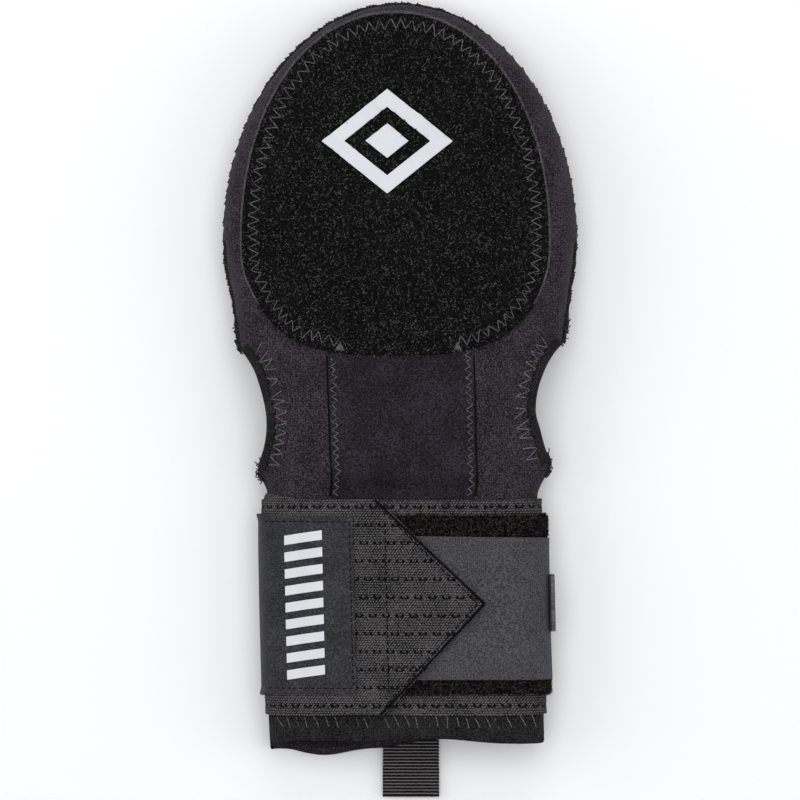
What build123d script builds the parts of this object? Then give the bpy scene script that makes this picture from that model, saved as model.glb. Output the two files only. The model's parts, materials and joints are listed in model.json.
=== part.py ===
"""Sliding mitt: a padded neoprene guard for the hand, with a wrap-around wrist strap and a pull tab.

All sizes are in millimetres. The mitt lies on its back. +X is to its right, +Y runs from the cuff to
the fingertips and +Z is up, out of its front. The origin is under the middle of the mitt, on the
surface that it lies on.
"""
from build123d import *
import os
from functools import cache
from math import cos, pi, sin

# Fabric and board thicknesses
NEOPRENE = 3.0
ELASTIC = 1.6
PILE = 1.5              # brushed pile patches on the hand
FOAM = 3.0
PLATE = 1.8
LINING = 0.8
LOOP_TAPE = 1.6
HOOK_TAPE = 1.2
CHANNEL_CLOTH = 0.8
BINDING = 0.5
SEAM_HEIGHT = 2.0       # overlocked side seam
RIBBON = 0.55           # one layer of the 20 mm grosgrain ribbon
LABEL = 1.0
PRINT = 0.25            # transferred film

# Clearances
GAP = 0.1               # between sewn layers of one body
FREE_GAP = 0.3          # between layers that peel or swing apart
FLEX_LENGTH = 3.0       # soft stretch at each bend of a tape or ribbon
EDGE_GAP = 0.05         # between an edge and the binding round it

# Hand shell, as the outer face of its neoprene
HAND_HALF_WIDTH = 61.7  # across the knuckles, its widest place
KNUCKLE_Y = 57.0
TIP_LENGTH = 83.4       # from the knuckles to the end of the fingertips
HAND_RISE = 22.1        # from the side seam up to the front face
WRIST_HALF_WIDTH = 51.6
WRIST_RISE = 13.0
WRIST_TOP_Y = -25.0     # lower end of the thumb openings, where the wrist starts to bend
RISE_END_Y = 40.0       # where the front face reaches its full height
SIDE_CURVE = 1.55       # how the sides draw in from the knuckles to the wrist
FRONT_SQUARENESS = 2.6  # superellipse powers of the shell's sections
REAR_SQUARENESS = 5.0
REAR_TIP_SQUARENESS = 4.0

# Wrist cuff, a flattened tube
CUFF_HALF_WIDTH = 47.9
CUFF_HOLLOW = 7.2       # half the height left inside the tube
CUFF_TOP_Y = -35.0
CUFF_SQUARENESS = 3.6
FRONT_HEM = 9.6         # neoprene left bare between the band and the mouth
REAR_HEM = 12.6

# Thumb openings, a round notch in each side
THUMB_RADIUS = 35.9
THUMB_Y = -7.9
THUMB_INNER_X = 47.0    # half the width left between the two notches
BINDING_WIDTH = 6.0

# Cap patches on the front and rear of the fingers
CAP_X = -1.95
CAP_Y = 56.6
CAP_SIDE_MARGIN = 7.0   # neoprene left bare round the patch
CAP_TIP_MARGIN = 4.4
CAP_LOWER = 41.0
CAP_LOWER_SQUARENESS = 2.7
TONGUE_HALF_WIDTH = 17.0
TONGUE_LOW_Y = -19.0

# Channel panel down the middle of the front
CHANNEL_X = 0.6
CHANNEL_WIDTH = 49.0
CHANNEL_TOP_Y = 14.0
CHANNEL_TILT = -1.6     # degrees

# Wrist strap, one elastic band wound one and a half times round the cuff
BAND_TOP_Y = -35.4
BAND_WIDTH = 76.0
LOOP_WIDTH = 62.6
LOOP_END_ANGLE = -20.0  # degrees below level on the right-hand side
TAPE_RAISE = 1.0        # the loop tape and the label are sewn this far above the band's middle
HOOK_WIDTH = 51.0
HOOK_END_ANGLE = 8.0
LABEL_WIDTH = 63.0
LABEL_SLOPE = 0.6       # rise of its right edge over the tail
LABEL_LEFT_ANGLE = 195.0

# Places and lengths along the cuff's front, as shares of its flat half-width
BAND_START = -0.796     # the band's sewn start
TAIL_TIP = 0.801
POINT_LENGTH = 0.973
TAIL_CLIMB = 0.16       # length over which the tail climbs onto a layer below it
LOOP_START = -0.053     # left end of both tapes, hidden under the tail's point
LABEL_RIGHT = -0.424    # right edge of the label
MARK_X = -0.846         # middle of the bars on the label

# Ribbon pull tab at the mouth, and the ribbon at the strap's end
RIBBON_WIDTH = 20.0
TAB_X = 3.9
TAB_LENGTH = 16.7       # past the mouth
STRAP_RIBBON_RAISE = 1.4
STRAP_RIBBON_LOW_Z = 5.0
STRAP_RIBBON_HIGH_Z = 18.0

# Printed marks
EMBLEM_X = -4.5
EMBLEM_Y = 91.0
EMBLEM_HALF_WIDTH = 23.0
EMBLEM_HALF_HEIGHT = 18.5
EMBLEM_LINE = 5.0
MARK_LENGTH = 53.0
MARK_WIDTH = 11.0
MARK_COUNT = 9
MARK_FILL = 0.55        # share of the pitch that a bar takes
MARK_SLANT = 0.35       # share of the pitch that a bar climbs by

# Bartacks at the ends of the plate's opening
BARTACKS = ((-20.8, 12), (19.9, -14))  # place along X, and turn in degrees
BARTACK_Y = 20.5
BARTACK_WIDTH = 2.6
BARTACK_LENGTH = 5.5
BARTACK_HEIGHT = 0.4

# Heights and places that follow from the sizes above
CUFF_HALF_HEIGHT = CUFF_HOLLOW + NEOPRENE
SEAM_Z = ELASTIC + GAP + CUFF_HALF_HEIGHT       # side seam, and the middle of the cuff
REAR_DROP = SEAM_Z - PILE - GAP                 # from the side seam down to the hand's rear face
CAP_HALF_WIDTH = HAND_HALF_WIDTH - CAP_SIDE_MARGIN
POCKET_MARGIN = NEOPRENE                        # each layer inside is this much smaller than its cover
CAP_UPPER = KNUCKLE_Y + TIP_LENGTH - CAP_TIP_MARGIN - CAP_Y
ROUND_X = CUFF_HALF_WIDTH - CUFF_HALF_HEIGHT    # centre of the cuff's rounded sides
BASE_IN = CUFF_HALF_HEIGHT + GAP                # radii of the layers round the cuff's sides
BASE_OUT = BASE_IN + ELASTIC
LOOP_IN = BASE_OUT + GAP
LOOP_OUT = LOOP_IN + LOOP_TAPE
HOOK_IN = LOOP_OUT + FREE_GAP
HOOK_OUT = HOOK_IN + HOOK_TAPE
TAIL_IN = HOOK_OUT + GAP
LOW_TAIL = BASE_OUT + FREE_GAP                  # the tail's left part lies on the band's sewn start
FOAM_OUT = -NEOPRENE - GAP                      # offsets of the layers inside the hand shell
FOAM_IN = FOAM_OUT - FOAM
PLATE_OUT = FOAM_IN - GAP
PLATE_IN = PLATE_OUT - PLATE
LINING_OUT = PLATE_IN - GAP
LINING_IN = LINING_OUT - LINING
BAND_LOW_Y = BAND_TOP_Y - BAND_WIDTH
BAND_MIDDLE_Y = BAND_TOP_Y - BAND_WIDTH / 2
BAND_START_X = BAND_START * ROUND_X
FRONT_MOUTH_Y = BAND_LOW_Y - FRONT_HEM
REAR_MOUTH_Y = BAND_LOW_Y - REAR_HEM
TAIL_TIP_X = TAIL_TIP * ROUND_X
TAIL_SHOULDER_X = (TAIL_TIP - POINT_LENGTH) * ROUND_X  # where the tail starts to narrow to its point
CLIMB = TAIL_CLIMB * ROUND_X
HOOK_HINGE_X = TAIL_TIP_X + FLEX_LENGTH         # line that the hook tape's end peels about
LOOP_START_X = LOOP_START * ROUND_X
TAPE_Y = BAND_MIDDLE_Y + TAPE_RAISE
TAB_HINGE_Y = REAR_MOUTH_Y - BINDING - GAP - FLEX_LENGTH / 2

REACH = 200.0           # longer than the whole mitt, for cutting blocks
SECTION_POINTS = 32
DOME_ANGLES = (0, 16, 31, 45, 58, 69, 78, 84.5)
WRIST_STATIONS = (-12.0, 2.0, 16.0, 30.0, 44.0)


def smooth_step(share):
    """0 to 1 with level ends."""
    share = min(max(share, 0.0), 1.0)
    return share * share * (3 - 2 * share)


def power(value, exponent):
    """value to a power, keeping its sign."""
    return abs(value) ** exponent * (1 if value >= 0 else -1)


def section(y, half_width, rise, drop, squareness):
    """One closed section across the hand shell, a superellipse whose rear half is flatter."""
    points = []
    for i in range(SECTION_POINTS):
        turn = 2 * pi * i / SECTION_POINTS
        height, n = (rise, squareness[0]) if sin(turn) >= 0 else (drop, squareness[1])
        points.append((half_width * power(cos(turn), 2 / n), y, SEAM_Z + height * power(sin(turn), 2 / n)))
    return make_face(Spline(points, periodic=True))


def wrist_section(y, offset):
    """A section between the cuff and the knuckles."""
    if y <= CUFF_TOP_Y:
        size = (CUFF_HALF_WIDTH, CUFF_HALF_HEIGHT, CUFF_HALF_HEIGHT)
        squareness = (CUFF_SQUARENESS, CUFF_SQUARENESS)
    else:
        share = (KNUCKLE_Y - y) / (KNUCKLE_Y - WRIST_TOP_Y)
        half_width = HAND_HALF_WIDTH - (HAND_HALF_WIDTH - WRIST_HALF_WIDTH) * share**SIDE_CURVE
        climb = smooth_step((y - WRIST_TOP_Y) / (RISE_END_Y - WRIST_TOP_Y))
        size = (half_width, WRIST_RISE + (HAND_RISE - WRIST_RISE) * climb, REAR_DROP)
        squareness = (FRONT_SQUARENESS, REAR_SQUARENESS)
    return section(y, *(s + offset for s in size), squareness)


def dome_section(angle, offset):
    """A section of the rounded end, at an angle from the knuckles, 0, to the fingertips, 90."""
    along = sin(angle * pi / 180)
    rise = (HAND_RISE + offset) * (1 - along**FRONT_SQUARENESS) ** (1 / FRONT_SQUARENESS)
    drop = (REAR_DROP + offset) * (1 - along**REAR_TIP_SQUARENESS) ** (1 / REAR_TIP_SQUARENESS)
    half_width = (HAND_HALF_WIDTH + offset) * cos(angle * pi / 180)
    y = KNUCKLE_Y + (TIP_LENGTH + offset) * along
    return section(y, half_width, rise, drop, (FRONT_SQUARENESS, REAR_SQUARENESS))


@cache
def shell(offset):
    """The hand shell filled solid, with its outer face moved out by offset."""
    lower = [wrist_section(y, offset) for y in (CUFF_TOP_Y, WRIST_TOP_Y, *WRIST_STATIONS)]
    return loft(lower + [dome_section(angle, offset) for angle in DOME_ANGLES])


def upright(outline):
    """The outline, drawn on the XY plane, run through the whole thickness."""
    return Pos(0, 0, -REACH / 2) * extrude(outline, REACH, dir=(0, 0, 1))


def block(x_low, x_high, y_low, y_high, z_low=-REACH, z_high=REACH):
    """A plain box between two corners."""
    middle = Pos((x_low + x_high) / 2, (y_low + y_high) / 2, (z_low + z_high) / 2)
    return middle * Box(x_high - x_low, y_high - y_low, z_high - z_low)


def front_half(edge=0.0):
    """Everything in front of the side seam."""
    return block(-REACH, REACH, -REACH, REACH, SEAM_Z + edge, REACH)


def rear_half(edge=0.0):
    """Everything behind the side seam."""
    return block(-REACH, REACH, -REACH, REACH, -REACH, SEAM_Z - edge)


def layer(outer, inner):
    """A layer of the hand shell between two offsets."""
    return shell(outer) - shell(inner)


def cap_outline(margin, mirror=1):
    """The rounded cap outline, drawn in by margin. mirror is -1 for the rear."""
    width = CAP_HALF_WIDTH - margin
    upper, lower = (2.0, CAP_UPPER - margin), (CAP_LOWER_SQUARENESS, CAP_LOWER - margin)
    points = []
    for i in range(SECTION_POINTS):
        turn = 2 * pi * i / SECTION_POINTS
        n, height = upper if sin(turn) >= 0 else lower
        x = mirror * CAP_X + width * power(cos(turn), 2 / n)
        points.append((x, CAP_Y + height * power(sin(turn), 2 / n)))
    return make_face(Spline(points, periodic=True))


def tongue_outline(margin):
    """The plate's tongue down the wrist, widened by margin."""
    low, high = TONGUE_LOW_Y - margin, CAP_Y
    width = 2 * (TONGUE_HALF_WIDTH + margin)
    return Pos(0, (low + high) / 2) * Rectangle(width, high - low)


def thumb_circles(grow=0.0):
    """The two round notches for the thumb, run through the thickness."""
    x = THUMB_INNER_X + THUMB_RADIUS
    circle = Circle(THUMB_RADIUS + grow)
    return upright(Pos(-x, THUMB_Y) * circle) + upright(Pos(x, THUMB_Y) * circle)


def hand_panels():
    """Front and rear neoprene of the hand, notched for the thumb."""
    whole = layer(0, -NEOPRENE) & block(-REACH, REACH, WRIST_TOP_Y, REACH)
    whole -= thumb_circles(BINDING + EDGE_GAP)
    return {"front_panel": whole & front_half(), "rear_panel": whole & rear_half()}


def wrist_sleeves():
    """Front and rear neoprene of the wrist, the stretch that bends."""
    whole = layer(0, -NEOPRENE) & block(-REACH, REACH, CUFF_TOP_Y + GAP, WRIST_TOP_Y - GAP)
    return {"wrist_sleeve_front": whole & front_half(), "wrist_sleeve_rear": whole & rear_half()}


def thumb_bindings():
    """A folded binding round each of the four notch edges."""
    wide = layer(BINDING, -NEOPRENE - BINDING)
    wide &= thumb_circles(BINDING_WIDTH) - thumb_circles()
    wide &= block(-REACH, REACH, WRIST_TOP_Y, KNUCKLE_Y)
    groove = layer(EDGE_GAP, -NEOPRENE - EDGE_GAP) - thumb_circles(BINDING)
    wide -= groove
    pieces = {}
    for side, low in (("left", -REACH), ("right", 0)):
        half = wide & block(low, low + REACH, -REACH, REACH)
        pieces[f"thumb_binding_{side}_front"] = half & front_half(EDGE_GAP)
        pieces[f"thumb_binding_{side}_rear"] = half & rear_half(EDGE_GAP)
    return pieces


def side_seam():
    """Overlocked seam that joins front and rear round the hand."""
    edge = block(-REACH, REACH, THUMB_Y, REACH, SEAM_Z - SEAM_HEIGHT / 2, SEAM_Z + SEAM_HEIGHT / 2)
    return {"side_seam": (layer(BINDING + GAP, GAP) & edge) - thumb_circles(BINDING_WIDTH + GAP)}


def cap_layers(face, half, mirror, tongue):
    """Pile patch, foam, plate and pocket lining of one face of the hand."""
    foam = upright(cap_outline(POCKET_MARGIN, mirror))
    pocket = upright(cap_outline(2 * POCKET_MARGIN, mirror))
    plate = upright(cap_outline(3 * POCKET_MARGIN, mirror))
    if tongue:
        pocket += upright(tongue_outline(POCKET_MARGIN))
        plate += upright(tongue_outline(0))
    return {
        f"{face}_pile_patch": layer(PILE + GAP, GAP) & upright(cap_outline(0, mirror)) & half,
        f"{face}_foam": layer(FOAM_OUT, FOAM_IN) & foam & half,
        f"{face}_plate": layer(PLATE_OUT, PLATE_IN) & plate & half,
        f"{face}_pocket": layer(LINING_OUT, LINING_IN) & pocket & half,
    }


def channel_panels():
    """Cloth panel over the plate's tongue, in its stiff part and the part that bends."""
    length = CHANNEL_TOP_Y - CUFF_TOP_Y
    outline = Rot(0, 0, -CHANNEL_TILT) * Rectangle(CHANNEL_WIDTH, 2 * length)
    cloth = layer(GAP + CHANNEL_CLOTH, GAP) & upright(Pos(CHANNEL_X, CHANNEL_TOP_Y - length / 2) * outline)
    cloth = (cloth & front_half()) - upright(cap_outline(-GAP))
    return {
        "channel_panel": cloth & block(-REACH, REACH, WRIST_TOP_Y, CAP_Y),
        "channel_flex": cloth & block(-REACH, REACH, CUFF_TOP_Y + GAP, WRIST_TOP_Y - GAP),
    }


def diamond(half_width, half_height):
    """A four-cornered diamond on the XY plane."""
    corners = [(half_width, 0), (0, half_height), (-half_width, 0), (0, -half_height)]
    return make_face(Polyline(*corners, close=True))


def emblem():
    """A plain diamond ring with a solid diamond in it, printed on the front pile patch."""
    ring = diamond(EMBLEM_HALF_WIDTH, EMBLEM_HALF_HEIGHT)
    slope = EMBLEM_HALF_HEIGHT / EMBLEM_HALF_WIDTH
    hole_half_width = EMBLEM_HALF_WIDTH - EMBLEM_LINE * (1 + 1 / slope**2) ** 0.5
    dot_half_width = hole_half_width / 2
    outline = ring - diamond(hole_half_width, hole_half_width * slope)
    outline += diamond(dot_half_width, dot_half_width * slope)
    film = layer(PILE + 2 * GAP + PRINT, PILE + 2 * GAP)
    return {"emblem": film & upright(Pos(EMBLEM_X, EMBLEM_Y) * outline) & front_half()}


def band(profile, top, low):
    """A profile on the XZ plane, run along Y from low to top."""
    return Pos(0, low, 0) * extrude(profile, top - low, dir=(0, 1, 0))


def slab(x_low, x_high, z_low, z_high):
    """A flat stretch of a band's profile. Heights are above the cuff's middle."""
    corners = [(x_low, z_low), (x_high, z_low), (x_high, z_high), (x_low, z_high)]
    return make_face(Polyline(*[(x, 0, SEAM_Z + z) for x, z in corners], close=True))


def bend(centre_x, inner, outer, start, end):
    """A round stretch of a band's profile, from one angle to another, in degrees."""

    def at(radius, angle):
        return centre_x + radius * cos(angle * pi / 180), 0, SEAM_Z + radius * sin(angle * pi / 180)

    middle = (start + end) / 2
    edges = [
        ThreePointArc(at(outer, start), at(outer, middle), at(outer, end)),
        Line(at(outer, end), at(inner, end)),
        ThreePointArc(at(inner, end), at(inner, middle), at(inner, start)),
        Line(at(inner, start), at(outer, start)),
    ]
    return make_face(edges)


def cuff_ring(outer, inner, top, low):
    """A ring of the flattened tube between two offsets."""
    slots = []
    for offset in (outer, inner):
        slots.append(SlotOverall(2 * (CUFF_HALF_WIDTH + offset), 2 * (CUFF_HALF_HEIGHT + offset)))
    return band(Plane.XZ * Pos(0, SEAM_Z) * (slots[0] - slots[1]), top, low)


def cuff():
    """Neoprene halves of the cuff, and the binding folded round its mouth."""
    pieces = {}
    for face, mouth, half in (("front", FRONT_MOUTH_Y, front_half), ("rear", REAR_MOUTH_Y, rear_half)):
        pieces[f"cuff_{face}"] = cuff_ring(0, -NEOPRENE, CUFF_TOP_Y, mouth) & half()
        cover = cuff_ring(BINDING, -NEOPRENE - BINDING, mouth + BINDING_WIDTH, mouth - BINDING)
        groove = cuff_ring(EDGE_GAP, -NEOPRENE - EDGE_GAP, mouth + REACH, mouth - EDGE_GAP)
        pieces[f"mouth_binding_{face}"] = (cover - groove) & half(EDGE_GAP)
    return pieces


def strap_base():
    """The band's sewn turn, round the front, the right side and the rear."""
    front = band(slab(BAND_START_X, ROUND_X, BASE_IN, BASE_OUT), BAND_TOP_Y, BAND_LOW_Y)
    side = band(bend(ROUND_X, BASE_IN, BASE_OUT, -90, 90), BAND_TOP_Y, BAND_LOW_Y)
    rear = band(slab(-ROUND_X, ROUND_X, -BASE_OUT, -BASE_IN), BAND_TOP_Y, BAND_LOW_Y)
    return {"strap_base": front + side + rear}


def loop_tape():
    """Loop pile that the hook tape grips, on the sewn turn."""
    top, low = TAPE_Y + LOOP_WIDTH / 2, TAPE_Y - LOOP_WIDTH / 2
    front = band(slab(LOOP_START_X, ROUND_X, LOOP_IN, LOOP_OUT), top, low)
    side = band(bend(ROUND_X, LOOP_IN, LOOP_OUT, LOOP_END_ANGLE, 90), top, low)
    return {"loop_tape": front + side}


def tail_profile():
    """Profile of the strap's free tail: it climbs over the band's start, then over the hook tape."""
    on_band = BAND_START_X - FREE_GAP
    on_tape = LOOP_START_X - 2 * FREE_GAP
    underside = [
        (-ROUND_X, BASE_IN),
        (on_band - CLIMB, BASE_IN),
        (on_band, LOW_TAIL),
        (on_tape - 2 * CLIMB, LOW_TAIL),
        (on_tape, TAIL_IN),
        (TAIL_TIP_X, TAIL_IN),
    ]
    upper = [(x, z + ELASTIC) for x, z in reversed(underside)]
    return make_face(Polyline(*[(x, 0, SEAM_Z + z) for x, z in underside + upper], close=True))


def strap_tail():
    """The free tail with its pointed end."""
    corners = [
        (-ROUND_X, BAND_TOP_Y),
        (TAIL_SHOULDER_X, BAND_TOP_Y),
        (TAIL_TIP_X, BAND_MIDDLE_Y),
        (TAIL_SHOULDER_X, BAND_LOW_Y),
        (-ROUND_X, BAND_LOW_Y),
    ]
    pointed = upright(make_face(Polyline(*corners, close=True)))
    return {"strap_tail": band(tail_profile(), BAND_TOP_Y, BAND_LOW_Y) & pointed}


def strap_fold():
    """The part of the band that bends round the cuff's left side."""
    return {"strap_fold": band(bend(-ROUND_X, BASE_IN, BASE_OUT, 90, 270), BAND_TOP_Y, BAND_LOW_Y)}


def label_profile(lift, thickness):
    """Profile of a layer on the flat part of the label, lifted off its seat on the tail."""
    on_band = BAND_START_X - 2 * FREE_GAP
    seat = GAP + lift
    underside = [
        (-ROUND_X, BASE_OUT + seat),
        (on_band - CLIMB, BASE_OUT + seat),
        (on_band, LOW_TAIL + ELASTIC + seat),
        (LABEL_RIGHT * ROUND_X, LOW_TAIL + ELASTIC + seat + LABEL_SLOPE),
    ]
    upper = [(x, z + thickness) for x, z in reversed(underside)]
    return make_face(Polyline(*[(x, 0, SEAM_Z + z) for x, z in underside + upper], close=True))


def label():
    """Label sewn on the tail, and its part round the fold."""
    top, low = TAPE_Y + LABEL_WIDTH / 2, TAPE_Y - LABEL_WIDTH / 2
    wrap = bend(-ROUND_X, BASE_OUT + GAP, BASE_OUT + GAP + LABEL, 90, LABEL_LEFT_ANGLE)
    return {"label": band(label_profile(0, LABEL), top, low), "label_fold": band(wrap, top, low)}


def hook_tape():
    """Hook tape under the tail, and its free end round the right side with a ribbon to pull."""
    top, low = BAND_MIDDLE_Y + HOOK_WIDTH / 2, BAND_MIDDLE_Y - HOOK_WIDTH / 2
    flex_start, flex_end = HOOK_HINGE_X - FLEX_LENGTH / 2, HOOK_HINGE_X + FLEX_LENGTH / 2
    root = band(slab(LOOP_START_X, flex_start, HOOK_IN, HOOK_OUT), top, low)
    flex = band(slab(flex_start, flex_end, HOOK_IN, HOOK_OUT), top, low)
    flat = band(slab(flex_end, ROUND_X, HOOK_IN, HOOK_OUT), top, low)
    side = band(bend(ROUND_X, HOOK_IN, HOOK_OUT, HOOK_END_ANGLE, 90), top, low)
    x, y = ROUND_X + HOOK_OUT + GAP, BAND_MIDDLE_Y + STRAP_RIBBON_RAISE
    y_low, y_high = y - RIBBON_WIDTH / 2, y + RIBBON_WIDTH / 2
    ribbon = block(x, x + 2 * RIBBON, y_low, y_high, STRAP_RIBBON_LOW_Z, STRAP_RIBBON_HIGH_Z)
    return {
        "hook_tape_root": root,
        "hook_tape_flex": flex,
        "hook_tape_end": flat + side,
        "strap_ribbon": ribbon,
    }


def pull_tab():
    """Ribbon loop under the rear of the mouth: its sewn root, its bend and its free loop."""
    left, right = TAB_X - RIBBON_WIDTH / 2, TAB_X + RIBBON_WIDTH / 2
    flex_start, flex_end = TAB_HINGE_Y + FLEX_LENGTH / 2, TAB_HINGE_Y - FLEX_LENGTH / 2
    height = 2 * RIBBON + GAP
    nose_y = REAR_MOUTH_Y - TAB_LENGTH + height / 2
    loop = block(left, right, nose_y, flex_end, 0, height)
    loop += Pos(TAB_X, nose_y, height / 2) * Rot(0, 90, 0) * Cylinder(height / 2, RIBBON_WIDTH)
    loop -= block(left, right, nose_y, flex_end + GAP, RIBBON, RIBBON + GAP)
    return {
        "pull_tab_root": block(left, right, flex_start, BAND_LOW_Y - GAP, 0, 2 * RIBBON),
        "pull_tab_flex": block(left, right, flex_end, flex_start, 0, 2 * RIBBON),
        "pull_tab": loop,
    }


def label_mark():
    """Slanted bars printed down the label."""
    pitch = MARK_LENGTH / MARK_COUNT
    bars = []
    for i in range(MARK_COUNT):
        climb, tall = pitch * MARK_SLANT / 2, pitch * MARK_FILL / 2
        corners = [
            (-MARK_WIDTH / 2, -climb - tall),
            (MARK_WIDTH / 2, climb - tall),
            (MARK_WIDTH / 2, climb + tall),
            (-MARK_WIDTH / 2, tall - climb),
        ]
        bar = make_face(Polyline(*corners, close=True))
        y = TAPE_Y + MARK_LENGTH / 2 - pitch * (i + 0.5)
        bars.append(Pos(MARK_X * ROUND_X, y) * bar)
    film = band(label_profile(LABEL + GAP, PRINT), TAPE_Y + LABEL_WIDTH / 2, TAPE_Y - LABEL_WIDTH / 2)
    return {"label_mark": Compound(children=[film & upright(bar) for bar in bars])}


def pocket_bartacks():
    """Dense stitching at both ends of the opening that the front plate slides in through."""
    tack = layer(PILE + 2 * GAP + BARTACK_HEIGHT, PILE + 2 * GAP)
    tacks = []
    for x, turn in BARTACKS:
        outline = Pos(x, BARTACK_Y) * Rot(0, 0, turn) * Rectangle(BARTACK_WIDTH, BARTACK_LENGTH)
        tacks.append(tack & upright(outline) & front_half())
    return {"pocket_bartacks": Compound(children=tacks)}


PIECES = {
    **hand_panels(),
    **wrist_sleeves(),
    **thumb_bindings(),
    **side_seam(),
    **cap_layers("front", front_half(), 1, tongue=True),
    **cap_layers("rear", rear_half(), -1, tongue=False),
    **channel_panels(),
    **emblem(),
    **cuff(),
    **strap_base(),
    **loop_tape(),
    **strap_tail(),
    **strap_fold(),
    **label(),
    **hook_tape(),
    **pull_tab(),
    **label_mark(),
    **pocket_bartacks(),
}

os.makedirs("parts", exist_ok=True)
for name, piece in PIECES.items():
    solids = piece.solids()
    export_step(solids[0] if len(solids) == 1 else Compound(children=solids), f"parts/{name}.step")
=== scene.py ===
"""Looks of a padded sliding mitt: neoprene shell, pile caps, wound wrist elastic, tapes, label and ribbons.

Lengths in the classes are millimetres unless a name ends in _m. Blender's own units are metres.
"""
import json
import logging
import math
import random
from dataclasses import dataclass, field
from enum import Enum
from typing import Callable, Iterable, Sequence

import bpy
import numpy as np
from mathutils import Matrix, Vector, noise
from mathutils.bvhtree import BVHTree

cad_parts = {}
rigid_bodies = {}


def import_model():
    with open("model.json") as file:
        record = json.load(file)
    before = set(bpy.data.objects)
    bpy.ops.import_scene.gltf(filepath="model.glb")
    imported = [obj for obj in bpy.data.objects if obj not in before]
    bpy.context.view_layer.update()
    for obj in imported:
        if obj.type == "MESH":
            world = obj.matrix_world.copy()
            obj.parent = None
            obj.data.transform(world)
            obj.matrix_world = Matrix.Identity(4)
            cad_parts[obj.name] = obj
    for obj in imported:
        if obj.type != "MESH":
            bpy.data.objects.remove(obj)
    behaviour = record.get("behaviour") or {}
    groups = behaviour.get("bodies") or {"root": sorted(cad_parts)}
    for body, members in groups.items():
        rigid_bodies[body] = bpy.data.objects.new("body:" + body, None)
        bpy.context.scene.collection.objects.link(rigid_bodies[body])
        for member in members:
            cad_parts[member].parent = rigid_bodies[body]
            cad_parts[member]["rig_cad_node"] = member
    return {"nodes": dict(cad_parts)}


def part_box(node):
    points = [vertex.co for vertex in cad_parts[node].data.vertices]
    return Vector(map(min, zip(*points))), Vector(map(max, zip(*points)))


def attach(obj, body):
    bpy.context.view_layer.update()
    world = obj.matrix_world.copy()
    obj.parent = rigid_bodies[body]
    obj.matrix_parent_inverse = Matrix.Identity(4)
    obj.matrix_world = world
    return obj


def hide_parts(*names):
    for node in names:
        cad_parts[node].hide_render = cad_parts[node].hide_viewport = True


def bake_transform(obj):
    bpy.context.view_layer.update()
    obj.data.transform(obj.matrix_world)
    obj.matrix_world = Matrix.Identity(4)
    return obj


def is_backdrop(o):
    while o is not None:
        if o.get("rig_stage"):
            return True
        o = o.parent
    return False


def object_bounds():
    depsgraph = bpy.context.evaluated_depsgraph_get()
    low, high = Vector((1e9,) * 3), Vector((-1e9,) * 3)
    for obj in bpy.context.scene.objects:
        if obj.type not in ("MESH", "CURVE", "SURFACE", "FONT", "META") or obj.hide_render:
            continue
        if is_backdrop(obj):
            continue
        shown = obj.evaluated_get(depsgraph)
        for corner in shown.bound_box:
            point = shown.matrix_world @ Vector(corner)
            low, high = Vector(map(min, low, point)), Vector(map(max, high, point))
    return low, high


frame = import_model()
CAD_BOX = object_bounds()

LOG = logging.getLogger("mitt")
MM = 0.001
Point = tuple[float, float]
Spot = tuple[float, float, float]
Piece = bpy.types.Object
Tree = bpy.types.NodeTree
Socket = bpy.types.NodeSocket


class Body(str, Enum):
    """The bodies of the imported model."""

    CUFF = "cuff"
    HAND = "hand"
    STRAP = "strap"
    HOOK_TAB = "hook_tab"
    PULL_LOOP = "pull_loop"

    def hold(self, piece: Piece) -> None:
        """Make a piece ride on the body."""
        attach(piece, self.value)


class Face(Enum):
    """The two faces of the mitt, and which way each looks along Z."""

    FRONT = 1
    REAR = -1

    @property
    def word(self) -> str:
        """The face's name in piece names."""
        return self.name.lower()


# ---------------------------------------------------------------- small tools


def edge_of(node: str, axis: int, high: bool) -> float:
    """One side of a CAD node's box, in millimetres.

    Args:
        node: the CAD node.
        axis: 0, 1 or 2 for X, Y or Z.
        high: the highest side, or else the lowest.

    Returns:
        The side's place along the axis.
    """
    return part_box(node)[1 if high else 0][axis] / MM


@dataclass(frozen=True)
class Nudge:
    """A stretch of one side where the cloth has settled off its plain shape, in millimetres."""

    side: int
    y: float
    spread: float
    right: float
    up: float = 0.0
    inner_x: float = 34.0
    fade: float = 14.0

    def share(self, x: float, y: float) -> float:
        """How much of the nudge a place in plan takes."""
        side = ease((self.side * x - self.inner_x) / self.fade)
        return side * math.exp(-(((y - self.y) / self.spread) ** 4))


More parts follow.
